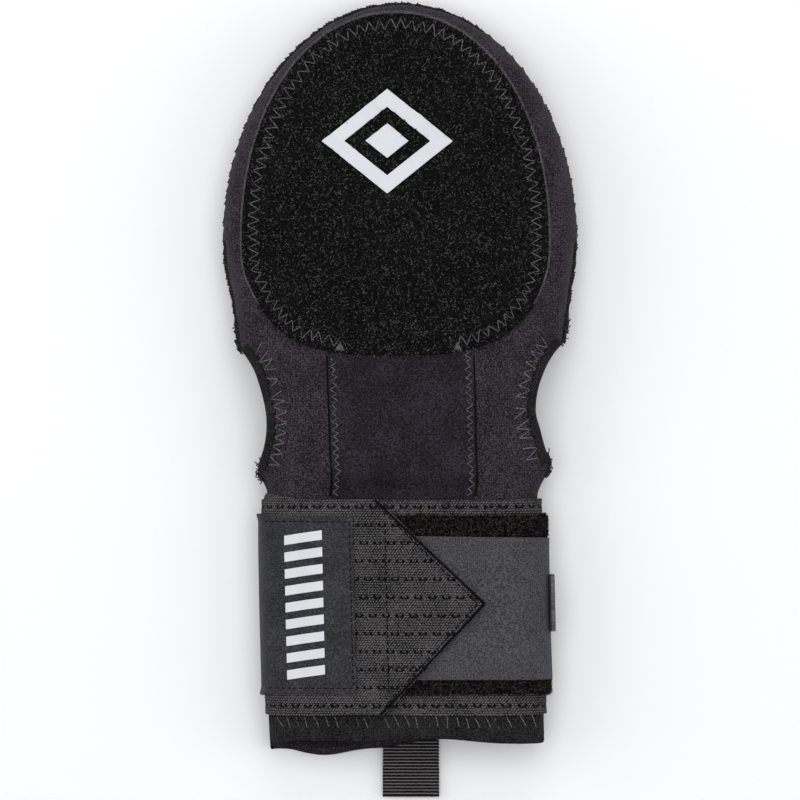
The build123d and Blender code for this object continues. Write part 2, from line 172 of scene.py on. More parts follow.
@dataclass(frozen=True)
class Lie:
    """How the mitt lies: its cuff drifts right, its front skews, and its sides are nudged."""

    slope: float = 0.023
    band_middle_y: float = -73.4
    side_x: float = 33.0
    side_fade: float = 12.0
    skew_top_y: float = -28.0
    skew_top_fade: float = 8.0
    skew_low_y: float = -119.0
    skew_low_fade: float = 7.0
    nudges: tuple[Nudge, ...] = (
        Nudge(side=-1, y=26, spread=17, right=1.9),
        Nudge(side=1, y=28, spread=17, right=-1.1),
        Nudge(side=1, y=-3, spread=27, right=0.4, up=3.2),
        Nudge(side=1, y=-19, spread=9, right=1.2),
        Nudge(side=-1, y=-29, spread=5, right=1.2),
        Nudge(side=-1, y=-78, spread=46, right=-1.0),
    )

    def settle(self, piece: Piece) -> None:
        """Move a finished piece's points as the mitt lies.

        Args:
            piece: the piece to settle.
        """
        for vertex in piece.data.vertices:
            x, y = vertex.co.x / MM, vertex.co.y / MM
            side = ease((abs(x) - self.side_x) / self.side_fade)
            below_top = ease((self.skew_top_y - y) / self.skew_top_fade)
            skew = (self.band_middle_y - y) * below_top * ease((y - self.skew_low_y) / self.skew_low_fade)
            shares = [(nudge, nudge.share(x, y)) for nudge in self.nudges]
            right = sum(nudge.right * share for nudge, share in shares)
            vertex.co.x += (self.slope * mix(skew, max(-y, 0.0), side) + right) * MM
            vertex.co.y += sum(nudge.up * share for nudge, share in shares) * MM


def ease(share: float) -> float:
    """0 to 1 with level ends, clamped outside."""
    share = min(max(share, 0.0), 1.0)
    return share * share * (3 - 2 * share)


def mix(low: float, high: float, share: float) -> float:
    """The value a share of the way from low to high."""
    return low + (high - low) * share


def deselect() -> None:
    """Leave object mode's selection empty."""
    if bpy.context.object and bpy.context.object.mode != "OBJECT":
        bpy.ops.object.mode_set(mode="OBJECT")
    bpy.ops.object.select_all(action="DESELECT")


def pick(piece: Piece) -> None:
    """Make a piece the only selected and the active object.

    Args:
        piece: the piece.
    """
    deselect()
    piece.select_set(True)
    bpy.context.view_layer.objects.active = piece


def modify(piece: Piece, kind: str, **settings: object) -> None:
    """Add a modifier to a piece and apply it.

    Args:
        piece: the piece to change.
        kind: Blender's name for the modifier.
        settings: the modifier's values.
    """
    pick(piece)
    modifier = piece.modifiers.new(kind.lower(), kind)
    for name, value in settings.items():
        setattr(modifier, name, value)
    bpy.ops.object.modifier_apply(modifier=modifier.name)


def clean(piece: Piece, merge_mm: float = 0.02, outward: bool = False) -> None:
    """Merge points that lie together, and turn the faces outwards if asked.

    Args:
        piece: the piece to clean.
        merge_mm: points nearer than this become one.
        outward: recalculate the normals, for closed shapes.
    """
    pick(piece)
    bpy.ops.object.mode_set(mode="EDIT")
    bpy.ops.mesh.select_all(action="SELECT")
    bpy.ops.mesh.remove_doubles(threshold=merge_mm * MM)
    if outward:
        bpy.ops.mesh.normals_make_consistent(inside=False)
    bpy.ops.object.mode_set(mode="OBJECT")


def face_to(piece: Piece, aim: Callable[[Vector], Vector]) -> None:
    """Flip a sheet whose faces look the wrong way.

    Args:
        piece: the sheet.
        aim: gives the way that the faces should look, at a point in millimetres.
    """
    if sum(polygon.normal.dot(aim(polygon.center / MM)) for polygon in piece.data.polygons) > 0:
        return
    pick(piece)
    bpy.ops.object.mode_set(mode="EDIT")
    bpy.ops.mesh.select_all(action="SELECT")
    bpy.ops.mesh.flip_normals()
    bpy.ops.object.mode_set(mode="OBJECT")


def smooth(piece: Piece, angle: float = 40.0) -> None:
    """Shade a piece smooth, with edges sharper than an angle in degrees left crisp."""
    pick(piece)
    bpy.ops.object.shade_smooth_by_angle(angle=math.radians(angle))


def sheet_of(
    name: str, columns: int, rows: int, place: Callable[[float, float], Sequence[float]], span: Point
) -> Piece:
    """Lay a grid primitive over a surface.

    Args:
        name: the new piece's name.
        columns: faces along u.
        rows: faces along v.
        place: gives the point in millimetres at u and v, each from 0 to 1.
        span: the sheet's flat size along u and v in millimetres, for its UV map.

    Returns:
        The new piece, with a UV map in metres.
    """
    deselect()
    bpy.ops.mesh.primitive_grid_add(x_subdivisions=columns, y_subdivisions=rows, size=1.0, location=(0, 0, 0))
    piece = bpy.context.object
    piece.name = piece.data.name = name
    for vertex in piece.data.vertices:
        u, v = vertex.co.x + 0.5, vertex.co.y + 0.5
        vertex.co = Vector(place(u, v)) * MM
    layer = piece.data.uv_layers.active.data
    flat = np.zeros(len(layer) * 2, np.float32)
    layer.foreach_get("uv", flat)
    flat = flat.reshape(-1, 2) * np.array([span[0] * MM, span[1] * MM], np.float32)
    layer.foreach_set("uv", flat.ravel())
    return piece


def push(piece: Piece, amount: Callable[[Vector], float]) -> None:
    """Move each point along its normal.

    Args:
        piece: the piece to shape.
        amount: gives the move in millimetres for a point in millimetres.
    """
    mesh = piece.data
    moves = [vertex.normal * (amount(vertex.co / MM) * MM) for vertex in mesh.vertices]
    for vertex, move in zip(mesh.vertices, moves):
        vertex.co += move
    mesh.update()


def thicken(piece: Piece, thickness: float, rim_slot: int = 0) -> None:
    """Give a sheet its thickness, inwards from its outer face, in millimetres."""
    modify(piece, "SOLIDIFY", thickness=thickness * MM, offset=-1.0, material_offset_rim=rim_slot)


class Skin:
    """The outer surface of a finished piece, for laying threads and tufts on."""

    def __init__(self, piece: Piece, face: Face) -> None:
        """Remember a piece's surface.

        Args:
            piece: the piece to lie on.
            face: the side of the mitt that it is seen from.
        """
        mesh = piece.data
        points = [vertex.co / MM for vertex in mesh.vertices]
        self.tree = BVHTree.FromPolygons(points, [tuple(polygon.vertices) for polygon in mesh.polygons])
        self.sign = face.value

    def at(self, x: float, y: float, lift: float = 0.0) -> Vector:
        """The point on the surface over a place in plan, lifted off it.

        Args:
            x: millimetres along X.
            y: millimetres along Y.
            lift: millimetres along the surface's normal.

        Returns:
            The point in millimetres.
        """
        start = Vector((x, y, 100.0 * self.sign))
        point, normal, _, _ = self.tree.ray_cast(start, Vector((0, 0, -self.sign)))
        if point is None:
            point, normal, _, _ = self.tree.find_nearest(Vector((x, y, 12.0)))
        if normal.z * self.sign < 0:
            normal = -normal
        return point + normal * lift


def thread(name: str, runs: Iterable[Sequence[Vector]], diameter: float) -> Piece:
    """Lay thread along lines.

    Args:
        name: the new piece's name.
        runs: each thread's points in millimetres.
        diameter: the thread's thickness in millimetres.

    Returns:
        One mesh that holds all the threads.
    """
    curve = bpy.data.curves.new(name, "CURVE")
    curve.dimensions = "3D"
    curve.bevel_depth = diameter * MM / 2
    curve.bevel_resolution = 1
    curve.use_fill_caps = True
    for points in runs:
        spline = curve.splines.new("POLY")
        spline.points.add(len(points) - 1)
        for knot, point in zip(spline.points, points):
            knot.co = (*(point * MM), 1.0)
    piece = bpy.data.objects.new(name, curve)
    bpy.context.scene.collection.objects.link(piece)
    pick(piece)
    bpy.ops.object.convert(target="MESH")
    piece = bpy.context.object
    piece.name = piece.data.name = name
    smooth(piece, 60)
    return piece


def evenly(line: Sequence[Point], pitch: float, closed: bool = False) -> list[tuple[Point, Point]]:
    """Walk along a line in even steps.

    Args:
        line: the line's points in plan.
        pitch: about how far apart the steps are.
        closed: the line joins up with its start.

    Returns:
        For each step its place, and the unit direction along the line.
    """
    points = np.array([*line, line[0]] if closed else line, float)
    along = np.concatenate([[0], np.cumsum(np.linalg.norm(np.diff(points, axis=0), axis=1))])
    count = max(2, round(along[-1] / pitch) + 1)
    at = np.linspace(0, along[-1], count)
    x, y = np.interp(at, along, points[:, 0]), np.interp(at, along, points[:, 1])
    steps = []
    for i in range(count):
        a, b = max(i - 1, 0), min(i + 1, count - 1)
        run = math.hypot(x[b] - x[a], y[b] - y[a]) or 1.0
        steps.append(((x[i], y[i]), ((x[b] - x[a]) / run, (y[b] - y[a]) / run)))
    return steps


@dataclass
class Stitch:
    """A kind of stitch, and how its thread lies on cloth."""

    diameter: float = 0.36
    pitch: float = 3.9
    reach: float = 4.0
    lift: float = 0.16
    dip: float = 0.5
    wander: float = 0.3
    sink: float = 0.0
    seed: int = 3

    def zigzag(
        self, skin: Skin, line: Sequence[Point], inward: float = 1.0, closed: bool = False
    ) -> list[list[Vector]]:
        """Threads that run to and fro beside a line.

        Args:
            skin: the cloth under the thread.
            line: the outer needle holes' line in plan.
            inward: 1 to sew to the left of the line's direction, -1 to the right.
            closed: the line joins up with its start.

        Returns:
            One run of thread for each stitch.
        """
        dice = random.Random(self.seed)
        holes = []
        for i, ((x, y), (along, up)) in enumerate(evenly(line, self.pitch / 2, closed)):
            over = inward * (self.reach * (i % 2) + dice.uniform(-self.wander, self.wander))
            slip = dice.uniform(-self.wander, self.wander)
            holes.append((x - up * over + along * slip, y + along * over + up * slip))
        runs = []
        for (x0, y0), (x1, y1) in zip(holes, holes[1:]):
            lift = self.lift + dice.uniform(-self.sink, 0.08)
            spots = (
                (0.0, -self.dip), (0.1, lift * 0.7), (0.5, lift * 1.3), (0.9, lift * 0.7), (1.0, -self.dip)
            )
            runs.append([skin.at(mix(x0, x1, t), mix(y0, y1, t), high) for t, high in spots])
        return runs

    def running(self, skin: Skin, line: Sequence[Point], fill: float = 0.74) -> list[list[Vector]]:
        """Separate stitches in a row along a line.

        Args:
            skin: the cloth under the thread.
            line: the seam's line in plan.
            fill: the share of the pitch that shows thread.

        Returns:
            One run of thread for each stitch.
        """
        runs = []
        steps = evenly(line, self.pitch)
        for ((x0, y0), _), ((x1, y1), _) in zip(steps, steps[1:]):
            spots = (
                (0.0, -self.dip), (0.12, self.lift), (fill / 2, self.lift * 1.2), (fill - 0.12, self.lift)
            )
            runs.append(
                [skin.at(mix(x0, x1, t), mix(y0, y1, t), high) for t, high in (*spots, (fill, -self.dip))]
            )
        return runs


@dataclass
class Pile:
    """Short fibres that stand on a cloth."""

    count: int = 50000
    length: float = 1.15
    width: float = 0.2
    lean: float = 0.8
    seed: int = 11

    def grow(self, name: str, base: Piece, keep: Callable[[float, float, float], float]) -> Piece:
        """Scatter curved fibres over a piece.

        Args:
            name: the new piece's name.
            base: the cloth that the fibres stand on.
            keep: gives a length share at a point in millimetres, 0 where no fibre stands.

        Returns:
            One mesh of all the fibres, each with painted light: painted shade at its root and a random
            painted glint towards its tip.
        """
        mesh = base.data
        mesh.calc_loop_triangles()
        corners = np.array([vertex.co for vertex in mesh.vertices], float) / MM
        faces = np.array([tri.vertices for tri in mesh.loop_triangles], int)
        a, b, c = (corners[faces[:, i]] for i in range(3))
        cross = np.cross(b - a, c - a)
        area = np.linalg.norm(cross, axis=1)
        share = np.array([keep(*middle) for middle in (a + b + c) / 3])
        dice = np.random.default_rng(self.seed)
        weight = area * (share > 0)
        chosen = dice.choice(len(area), self.count, p=weight / weight.sum())
        u, v = dice.random((2, self.count, 1))
        u, v = np.where(u + v > 1, 1 - u, u), np.where(u + v > 1, 1 - v, v)
        foot = a[chosen] + u * (b - a)[chosen] + v * (c - a)[chosen]
        normal = cross[chosen] / area[chosen][:, None]
        aim = dice.normal(size=(self.count, 3))
        aim -= (aim * normal).sum(1, keepdims=True) * normal
        aim /= np.linalg.norm(aim, axis=1, keepdims=True)
        side = np.cross(normal, aim)
        long = self.length * share[chosen][:, None] * dice.uniform(0.6, 1.25, (self.count, 1))
        lean = self.lean * dice.uniform(0.4, 1.3, (self.count, 1))
        wide = side * self.width / 2
        middle = foot + normal * long * 0.55 + aim * long * lean * 0.3
        tip = foot + normal * long * 0.85 + aim * long * lean
        foot = foot - normal * 0.1
        points = np.stack([foot - wide, foot + wide, middle - wide * 0.8, middle + wide * 0.8, tip], axis=1)
        start = np.arange(self.count)[:, None] * 5
        triangles = np.concatenate([start + k for k in ([0, 1, 3], [0, 3, 2], [2, 3, 4])])
        new = bpy.data.meshes.new(name)
        new.from_pydata((points.reshape(-1, 3) * MM).tolist(), [], triangles.tolist())
        shade = new.attributes.new("shade", "FLOAT", "POINT")
        # Painted light on each fibre: painted shade darkens its root, and a few fibres are much lighter as
        # painted glints.
        tone = np.repeat(dice.random(self.count) ** 2.6, 5) * np.tile([0.2, 0.2, 0.8, 0.8, 1.0], self.count)
        shade.data.foreach_set("value", tone.astype(np.float32))
        piece = bpy.data.objects.new(name, new)
        bpy.context.scene.collection.objects.link(piece)
        return piece


def inflate(piece: Piece, held: Callable[[Vector], float], limit: float, pressure: float = 4.0) -> None:
    """Swell a sheet by cloth simulation, as foam behind it does.

    Args:
        piece: the sheet.
        held: gives how firmly a point in millimetres is sewn down, from 0 to 1.
        limit: the furthest that a point may move, in millimetres.
        pressure: how hard the foam pushes.
    """
    rest = [vertex.co.copy() for vertex in piece.data.vertices]
    group = piece.vertex_groups.new(name="sewn")
    for i, point in enumerate(rest):
        group.add([i], held(point / MM), "REPLACE")
    pick(piece)
    modifier = piece.modifiers.new("swell", "CLOTH")
    cloth = modifier.settings
    cloth.quality = 4
    cloth.mass = 0.2
    cloth.bending_stiffness = 2.0
    cloth.tension_stiffness = cloth.compression_stiffness = 25.0
    cloth.shrink_min = -0.015
    cloth.use_pressure = True
    cloth.uniform_pressure_force = pressure
    cloth.vertex_group_mass = group.name
    cloth.effector_weights.gravity = 0.0
    modifier.collision_settings.use_collision = False
    scene = bpy.context.scene
    for step in range(1, 21):
        scene.frame_set(step)
    pick(piece)
    bpy.ops.object.modifier_apply(modifier=modifier.name)
    scene.frame_set(1)
    for vertex, start in zip(piece.data.vertices, rest):
        move = vertex.co - start
        if move.length > limit * MM:
            vertex.co = start + move * (limit * MM / move.length)
    piece.vertex_groups.clear()


# ------------------------------------------------------------------ materials


def linear(colour: str) -> tuple[float, float, float, float]:
    """Turn an sRGB hex colour into linear red, green, blue and alpha.

    Args:
        colour: six hex digits.

    Returns:
        The four channels, each 0 to 1.
    """
    parts = [int(colour[i : i + 2], 16) / 255 for i in (0, 2, 4)]
    red, green, blue = (p / 12.92 if p <= 0.04045 else ((p + 0.055) / 1.055) ** 2.4 for p in parts)
    return red, green, blue, 1.0


def add_node(
    tree: Tree, kind: str, inputs: dict[object, object] | None = None, **settings: object
) -> bpy.types.Node:
    """Add a shader node with its settings and links.

    Args:
        tree: the material's node tree.
        kind: the node's Blender type, without ShaderNode.
        inputs: for each input, by name or number, a value or the socket that feeds it.
        settings: the node's own options.

    Returns:
        The new node.
    """
    node = tree.nodes.new("ShaderNode" + kind)
    for name, value in settings.items():
        setattr(node, name, value)
    for key, value in (inputs or {}).items():
        socket = node.inputs[key]
        if isinstance(value, Socket):
            tree.links.new(value, socket)
        else:
            socket.default_value = value
    return node


class Weave(Enum):
    """The surface patterns that the cloths have."""

    CROSSED = "crossed"
    NAP = "nap"
    WEBBING = "webbing"
    RIB = "rib"
    GRAIN = "grain"
    STRAND = "strand"
    FILM = "film"
    FOAM = "foam"


@dataclass(frozen=True)
class Finish:
    """A finish: the real material, its sRGB colours, and the look of its pattern.

    In millimetres, the pitch is the pattern's repeat, the depth its relief, the blotch the size of its
    lighter patches and the fleck that of its lint; worn and speckle say how far these lighten it. The lighter
    patches are wear on most cloths, and painted sheen on the laminated cloth and the grey overlock thread. A
    pitch is drawn coarser than the real one where that is too fine to show.
    """

    name: str
    slot: str
    weave: Weave
    dark: str
    light: str
    roughness: float
    sheen: float = 0.0
    specular: float = 0.1
    pitch: float = 0.75
    depth: float = 0.1
    blotch: float = 12.0
    worn: float = 0.35
    fleck: float = 0.6
    speckle: float = 0.22
    gloss_spread: float = 0.08
    wale_share: float = 1.2
    floor: float = 0.0

    def build(self) -> bpy.types.Material:
        """Make the material.

        Returns:
            A material with its colour, roughness and relief from nodes.
        """
        material = bpy.data.materials.new(self.name)
        material.use_nodes = True
        tree = material.node_tree
        tree.nodes.clear()
        coordinates = add_node(tree, "TexCoord").outputs
        spot = coordinates["Object"]
        where = coordinates["UV"] if self.weave in (Weave.WEBBING, Weave.RIB) else spot
        pattern = getattr(self, "_" + self.weave.value)(tree, where)
        clouds = {"Vector": spot, "Scale": 1 / (self.blotch * MM), "Detail": 5.0, "Roughness": 0.6}
        cloud = add_node(tree, "TexNoise", clouds).outputs["Fac"]
        flecks = {"Vector": spot, "Scale": 1 / (self.fleck * MM), "Detail": 2.0, "Roughness": 0.8}
        fleck = add_node(tree, "TexNoise", flecks).outputs["Fac"]
        # Cloudy lighter patches: wear on most cloths, painted sheen on the laminated cloth and the grey
        # thread.
        patches = {"Value": cloud, "From Min": 0.35, "From Max": 0.7, "To Max": self.worn}
        wear_and_sheen_tone = add_node(tree, "MapRange", patches).outputs[0]
        low, high = -self.speckle, self.speckle
        lint = {"Value": fleck, "From Min": 0.36, "From Max": 0.64, "To Min": low, "To Max": high}
        lint = add_node(tree, "MapRange", lint).outputs[0]
        tone = add_node(tree, "Math", {0: pattern, 1: wear_and_sheen_tone}, operation="ADD").outputs[0]
        tone = add_node(tree, "Math", {0: tone, 1: lint}, operation="ADD", use_clamp=True).outputs[0]
        shades = {0: tone, 6: linear(self.dark), 7: linear(self.light)}
        colour = add_node(tree, "Mix", shades, data_type="RGBA").outputs[2]
        low, high = self.roughness - self.gloss_spread, min(self.roughness + self.gloss_spread, 1.0)
        rough = add_node(tree, "MapRange", {"Value": cloud, "To Min": low, "To Max": high}).outputs[0]
        relief = add_node(tree, "Math", {0: pattern, 1: lint}, operation="ADD").outputs[0]
        relief = {"Height": relief, "Strength": 1.0, "Distance": self.depth * MM}
        shader = add_node(
            tree,
            "BsdfPrincipled",
            {
                "Base Color": colour,
                "Roughness": rough,
                "Normal": add_node(tree, "Bump", relief).outputs[0],
                "Specular IOR Level": self.specular,
                "Sheen Weight": self.sheen,
                "Sheen Roughness": 0.5,
            },
        )
        add_node(tree, "OutputMaterial", {"Surface": shader.outputs[0]})
        return material

    def cells(self, where: Socket) -> dict[str, object]:
        """Inputs of a texture whose cells are a pitch across."""
        return {"Vector": where, "Scale": 1 / (self.pitch * MM)}

    def _bands(self, tree: Tree, where: Socket, axis: str, period: float) -> Socket:
        """Soft ridges across an axis.

        Args:
            tree: the material's nodes.
            where: the coordinates.
            axis: X, Y or DIAGONAL.
            period: millimetres from ridge to ridge.

        Returns:
            A height from 0 to 1.
        """
        # The wave texture repeats every pi / 10 over its scale.
        scale = math.pi / 10 / (period * MM)
        waves = {"Vector": where, "Scale": scale, "Distortion": 0.6, "Detail": 1.0, "Detail Scale": 3.0}
        return add_node(tree, "TexWave", waves, bands_direction=axis).outputs["Fac"]

    def _crossed(self, tree: Tree, where: Socket) -> Socket:
        """Knitted or plain-woven cloth: ridges one way crossed by ridges the other way.

        Args:
            tree: the material's nodes.
            where: the coordinates.

        Returns:
            The pattern's height.
        """
        courses = self._bands(tree, where, "Y", self.pitch)
        wales = self._bands(tree, where, "X", self.pitch * self.wale_share)
        both = add_node(tree, "Math", {0: courses, 1: wales}, operation="MULTIPLY").outputs[0]
        return add_node(tree, "Math", {0: both, 1: 0.45, 2: self.floor}, operation="MULTIPLY_ADD").outputs[0]

    def _nap(self, tree: Tree, where: Socket) -> Socket:
        """Brushed pile: clumps of fibre, each fibre with painted light: painted shade at its root, and
        painted glints on a few.

        Args:
            tree: the material's nodes.
            where: the coordinates.

        Returns:
            The pattern's height.
        """
        clumps = add_node(tree, "TexVoronoi", self.cells(where))
        # Each fibre's painted light: painted shade at its root and a painted glint on a few.
        own = add_node(tree, "Attribute", {}, attribute_name="shade")
        lit = add_node(tree, "Math", {0: own.outputs["Fac"], 1: 0.9}, operation="MULTIPLY")
        dim = add_node(tree, "Math", {0: clumps.outputs["Distance"], 1: 0.03}, operation="MULTIPLY")
        return add_node(tree, "Math", {0: lit.outputs[0], 1: dim.outputs[0]}, operation="ADD").outputs[0]

    def _webbing(self, tree: Tree, where: Socket) -> Socket:
        """Woven elastic: a fine slanting weave, crossed by rows of paired black dashes.

        Args:
            tree: the material's nodes.
            where: the coordinates.

        Returns:
            The pattern's height.
        """
        parts = add_node(tree, "SeparateXYZ", {"Vector": where})
        found = {"x": parts.outputs["X"], "y": parts.outputs["Y"]}
        for name, operation, *values in (
            ("row", "DIVIDE", "y", ElasticBand.row_pitch * MM),
            ("number", "ROUND", "row"),
            ("off_row", "SUBTRACT", "row", "number"),
            ("below", "MULTIPLY", "off_row", ElasticBand.row_pitch),
            ("column", "DIVIDE", "x", ElasticBand.dash_pitch * MM),
            ("stagger", "MULTIPLY", "number", 0.37),
            ("cell", "ADD", "column", "stagger"),
            ("part", "FRACT", "cell"),
            ("off_middle", "SUBTRACT", "part", 0.5),
            ("off_cell", "ABSOLUTE", "off_middle"),
            ("beside", "MULTIPLY", "off_cell", ElasticBand.dash_pitch),
            ("near_dot", "COMPARE", "beside", 1.1, 0.45),
            ("on_row", "COMPARE", "below", 0.0, 0.5),
            ("dots", "MULTIPLY", "near_dot", "on_row"),
            ("near_bar", "COMPARE", "beside", 0.0, 1.3),
            ("on_bar", "COMPARE", "below", 0.5, 0.2),
            ("bars", "MULTIPLY", "near_bar", "on_bar"),
            ("dashes", "MAXIMUM", "dots", "bars"),
            ("sunk", "MULTIPLY", "dashes", 1.6),
            ("slip", "MULTIPLY", "y", 0.8),
            ("slanted", "ADD", "x", "slip"),
        ):
            inputs = {i: found.get(value, value) for i, value in enumerate(values)}
            found[name] = add_node(tree, "Math", inputs, operation=operation).outputs[0]
        turned = add_node(tree, "CombineXYZ", {"X": found["slanted"], "Y": found["y"]}).outputs[0]
        twill = self._bands(tree, turned, "X", self.pitch)
        picks = self._bands(tree, where, "Y", self.pitch * 0.85)
        cloth = add_node(tree, "Math", {0: twill, 1: picks}, operation="MULTIPLY")
        level = {0: cloth.outputs[0], 1: found["sunk"]}
        return add_node(tree, "Math", level, operation="SUBTRACT").outputs[0]

    def _rib(self, tree: Tree, where: Socket) -> Socket:
        """Grosgrain: a painted highlight on the crests of the ribs, crossed by fine warp threads.

        Args:
            tree: the material's nodes.
            where: the coordinates.

        Returns:
            The pattern's height.
        """
        ribs = self._bands(tree, where, "Y", self.pitch)
        warp = self._bands(tree, where, "X", self.pitch / 2)
        # The pale crests are a painted highlight.
        crest_highlight = add_node(tree, "Math", {0: ribs, 1: 6.0}, operation="POWER").outputs[0]
        lit = add_node(tree, "Math", {0: warp, 1: 0.35, 2: 0.5}, operation="MULTIPLY_ADD").outputs[0]
        return add_node(tree, "Math", {0: crest_highlight, 1: lit}, operation="MULTIPLY").outputs[0]

    def _grain(self, tree: Tree, where: Socket) -> Socket:
        """Moulded vinyl: a faint leather grain."""
        cells = add_node(
            tree, "TexVoronoi", self.cells(where), feature="DISTANCE_TO_EDGE"
        ).outputs["Distance"]
        return add_node(tree, "Math", {0: cells, 1: 0.5}, operation="MULTIPLY").outputs[0]

    def _strand(self, tree: Tree, where: Socket) -> Socket:
        """Plied thread: a slanting twist."""
        return self._bands(tree, where, "DIAGONAL", self.pitch)

    def _film(self, tree: Tree, where: Socket) -> Socket:
        """Transferred film: the cloth's texture telegraphs faintly through it."""
        cloth = add_node(tree, "TexNoise", self.cells(where) | {"Detail": 3.0}).outputs["Fac"]
        return add_node(tree, "Math", {0: cloth, 1: 0.5}, operation="MULTIPLY").outputs[0]

    def _foam(self, tree: Tree, where: Socket) -> Socket:
        """Closed-cell foam: small round pores."""
        return add_node(tree, "TexVoronoi", self.cells(where)).outputs["Distance"]


FINISHES = {
    finish.name: finish
    for finish in (
        # Nylon jersey laminated on neoprene: matt, faintly purple, flecked by its knit.
        Finish("nylon_jersey", "neoprene", Weave.CROSSED, "161317", "4f4850", 0.9, sheen=0.03, speckle=0.6),
        # Brushed pile: near black, its fibres catch light one by one.
        Finish(
            "brushed_pile", "pile", Weave.NAP, "060606", "747472", 0.95,
            specular=0.03, pitch=1.1, worn=0.01, speckle=0.02,
        ),
        # Loops of touch tape: browner and rougher than the pile.
        Finish(
            "loop_pile", "loop_pile", Weave.NAP, "040404", "524e4c", 0.95,
            specular=0.03, pitch=1.3, worn=0.01, speckle=0.02,
        ),
        # Smooth laminated stretch cloth: its cloudy lighter patches are painted sheen.
        Finish(
            "laminated_cloth", "channel_cloth", Weave.GRAIN, "121015", "36333b", 0.8,
            pitch=0.6, depth=0.05, worn=0.55, speckle=0.75,
        ),
        # Stretch binding, matt and nearly black.
        Finish(
            "stretch_binding", "binding", Weave.CROSSED, "0b0b0b", "3a3839", 0.9,
            pitch=0.7, depth=0.08, speckle=0.5,
        ),
        # Woven elastic: grey rubber-cored warp with black dashes.
        Finish(
            "woven_elastic", "elastic", Weave.WEBBING, "060606", "6c6969", 0.88,
            pitch=1.05, depth=0.2, worn=0.25, speckle=0.3,
        ),
        # Nylon hook tape seen from its back: blue-grey and slightly glossy.
        Finish(
            "nylon_tape", "hook_tape", Weave.CROSSED, "28282c", "545459", 0.7,
            specular=0.15, pitch=0.7, depth=0.05, worn=0.2, speckle=0.6, wale_share=1.0, floor=0.25,
        ),
        # Soft PVC label: smooth and satin.
        Finish(
            "soft_pvc", "label", Weave.GRAIN, "19191c", "434348", 0.55,
            specular=0.16, pitch=0.9, depth=0.03, blotch=9, worn=0.45, speckle=0.6,
        ),
        # White transfer film: clean and satin.
        Finish(
            "transfer_film", "print", Weave.FILM, "ced0d5", "dadce0", 0.6,
            specular=0.2, pitch=1.2, depth=0.02, speckle=0.1,
        ),
        # Polyester grosgrain: the light catches the crests of its ribs.
        Finish(
            "grosgrain", "ribbon", Weave.RIB, "030303", "9c989a", 0.75,
            pitch=1.14, depth=0.1, worn=0.04, speckle=0.08,
        ),
        # Black overlock thread: bulked, fuzzy and without shine.
        Finish(
            "dark_thread", "thread", Weave.STRAND, "0a0a0a", "3e3b3c", 0.9,
            pitch=0.5, depth=0.05, worn=0.2,
        ),
        # Bulked grey overlock thread: soft and unevenly lit.
        Finish(
            "bulked_thread", "thread", Weave.STRAND, "1c1c1e", "6e6e70", 0.8,
            pitch=0.5, depth=0.05, blotch=5, worn=0.6, speckle=0.35,
        ),
        # Black core-spun sewing thread: it shows as fine dark lines.
        Finish(
            "black_thread", "thread", Weave.STRAND, "030303", "101010", 0.7,
            specular=0.05, pitch=0.5, depth=0.04, worn=0.1,
        ),
        # Cut edge of the laminate under the pile, paler than its face.
        Finish("cut_edge", "pile", Weave.GRAIN, "3c393c", "6c686c", 0.9, pitch=0.6, depth=0.05, speckle=0.4),
        # Closed-cell foam sheet: dull, with small pores.
        Finish("cell_foam", "foam", Weave.FOAM, "1b1b1c", "363638", 0.9, pitch=0.8, depth=0.1),
        # Moulded polypropylene: matt, with a fine grain.
        Finish(
            "moulded_plate", "plate", Weave.GRAIN, "121214", "1f1f22", 0.55,
            specular=0.4, pitch=0.5, depth=0.02,
        ),
        # Plain polyester pocket cloth: dull and closely woven.
        Finish("pocket_cloth", "lining", Weave.STRAND, "1a1a1d", "303034", 0.8, pitch=0.6, depth=0.05),
    )
}


@dataclass(frozen=True)
class Crossing:
    """A soft stretch between two bodies, given by its two ends."""

    near: Body
    far: Body
    start: Spot
    end: Spot

    def hold(self, piece: Piece) -> None:
        """Bake a piece's transform into its mesh; the piece is not blended over the crossing or held by a
        body.
        """
        start, end = (tuple(value * MM for value in point) for point in (self.start, self.end))
        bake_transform(piece)
        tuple(start)
        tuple(end)


Holder = Body | Crossing


class Wardrobe:
    """Gives each piece its material and slot."""

    def __init__(self) -> None:
        """Build every material once."""
        self.made = {name: finish.build() for name, finish in FINISHES.items()}

    def dress(self, piece: Piece, *finishes: str) -> None:
        """Put materials on a piece, the first one all over.

        Args:
            piece: the piece.
            finishes: finish names, one for each of its material slots.
        """
        piece.data.materials.clear()
        for name in finishes:
            piece.data.materials.append(self.made[name])

    def sew(
        self, name: str, runs: Iterable[Sequence[Vector]], diameter: float, finish: str, on: Holder
    ) -> Piece:
        """Lay thread, dress it and hold it.

        Args:
            name: the new piece's name.
            runs: each thread's points in millimetres.
            diameter: the thread's thickness in millimetres.
            finish: the thread's finish.
            on: the body or crossing that it goes with.

        Returns:
            The new piece.
        """
        piece = thread(name, runs, diameter)
        self.dress(piece, finish)
        on.hold(piece)
        return piece

    def sew_mixed(
        self, name: str, runs: Sequence[Sequence[Vector]], diameter: float, lit: Sequence[bool], on: Holder
    ) -> None:
        """Sew a seam with a painted highlight only here and there: its lit stitches are drawn in the pale
        grey thread, the rest in dark thread.

        Args:
            name: the seam's name, to which _dim or _lit is added.
            runs: each stitch's points in millimetres.
            diameter: the thread's thickness in millimetres.
            lit: for each stitch, whether it shows the painted highlight.
            on: the body or crossing that it goes with.
        """
        # Lit and dim copies of one thread: the lit copy is a painted highlight.
        for word, bright, finish in (("dim", False, "dark_thread"), ("lit", True, "bulked_thread")):
            chosen = [run for run, shows in zip(runs, lit) if shows is bright]
            self.sew(f"{name}_{word}", chosen, diameter, finish, on)


# ----------------------------------------------------------------- hand shell


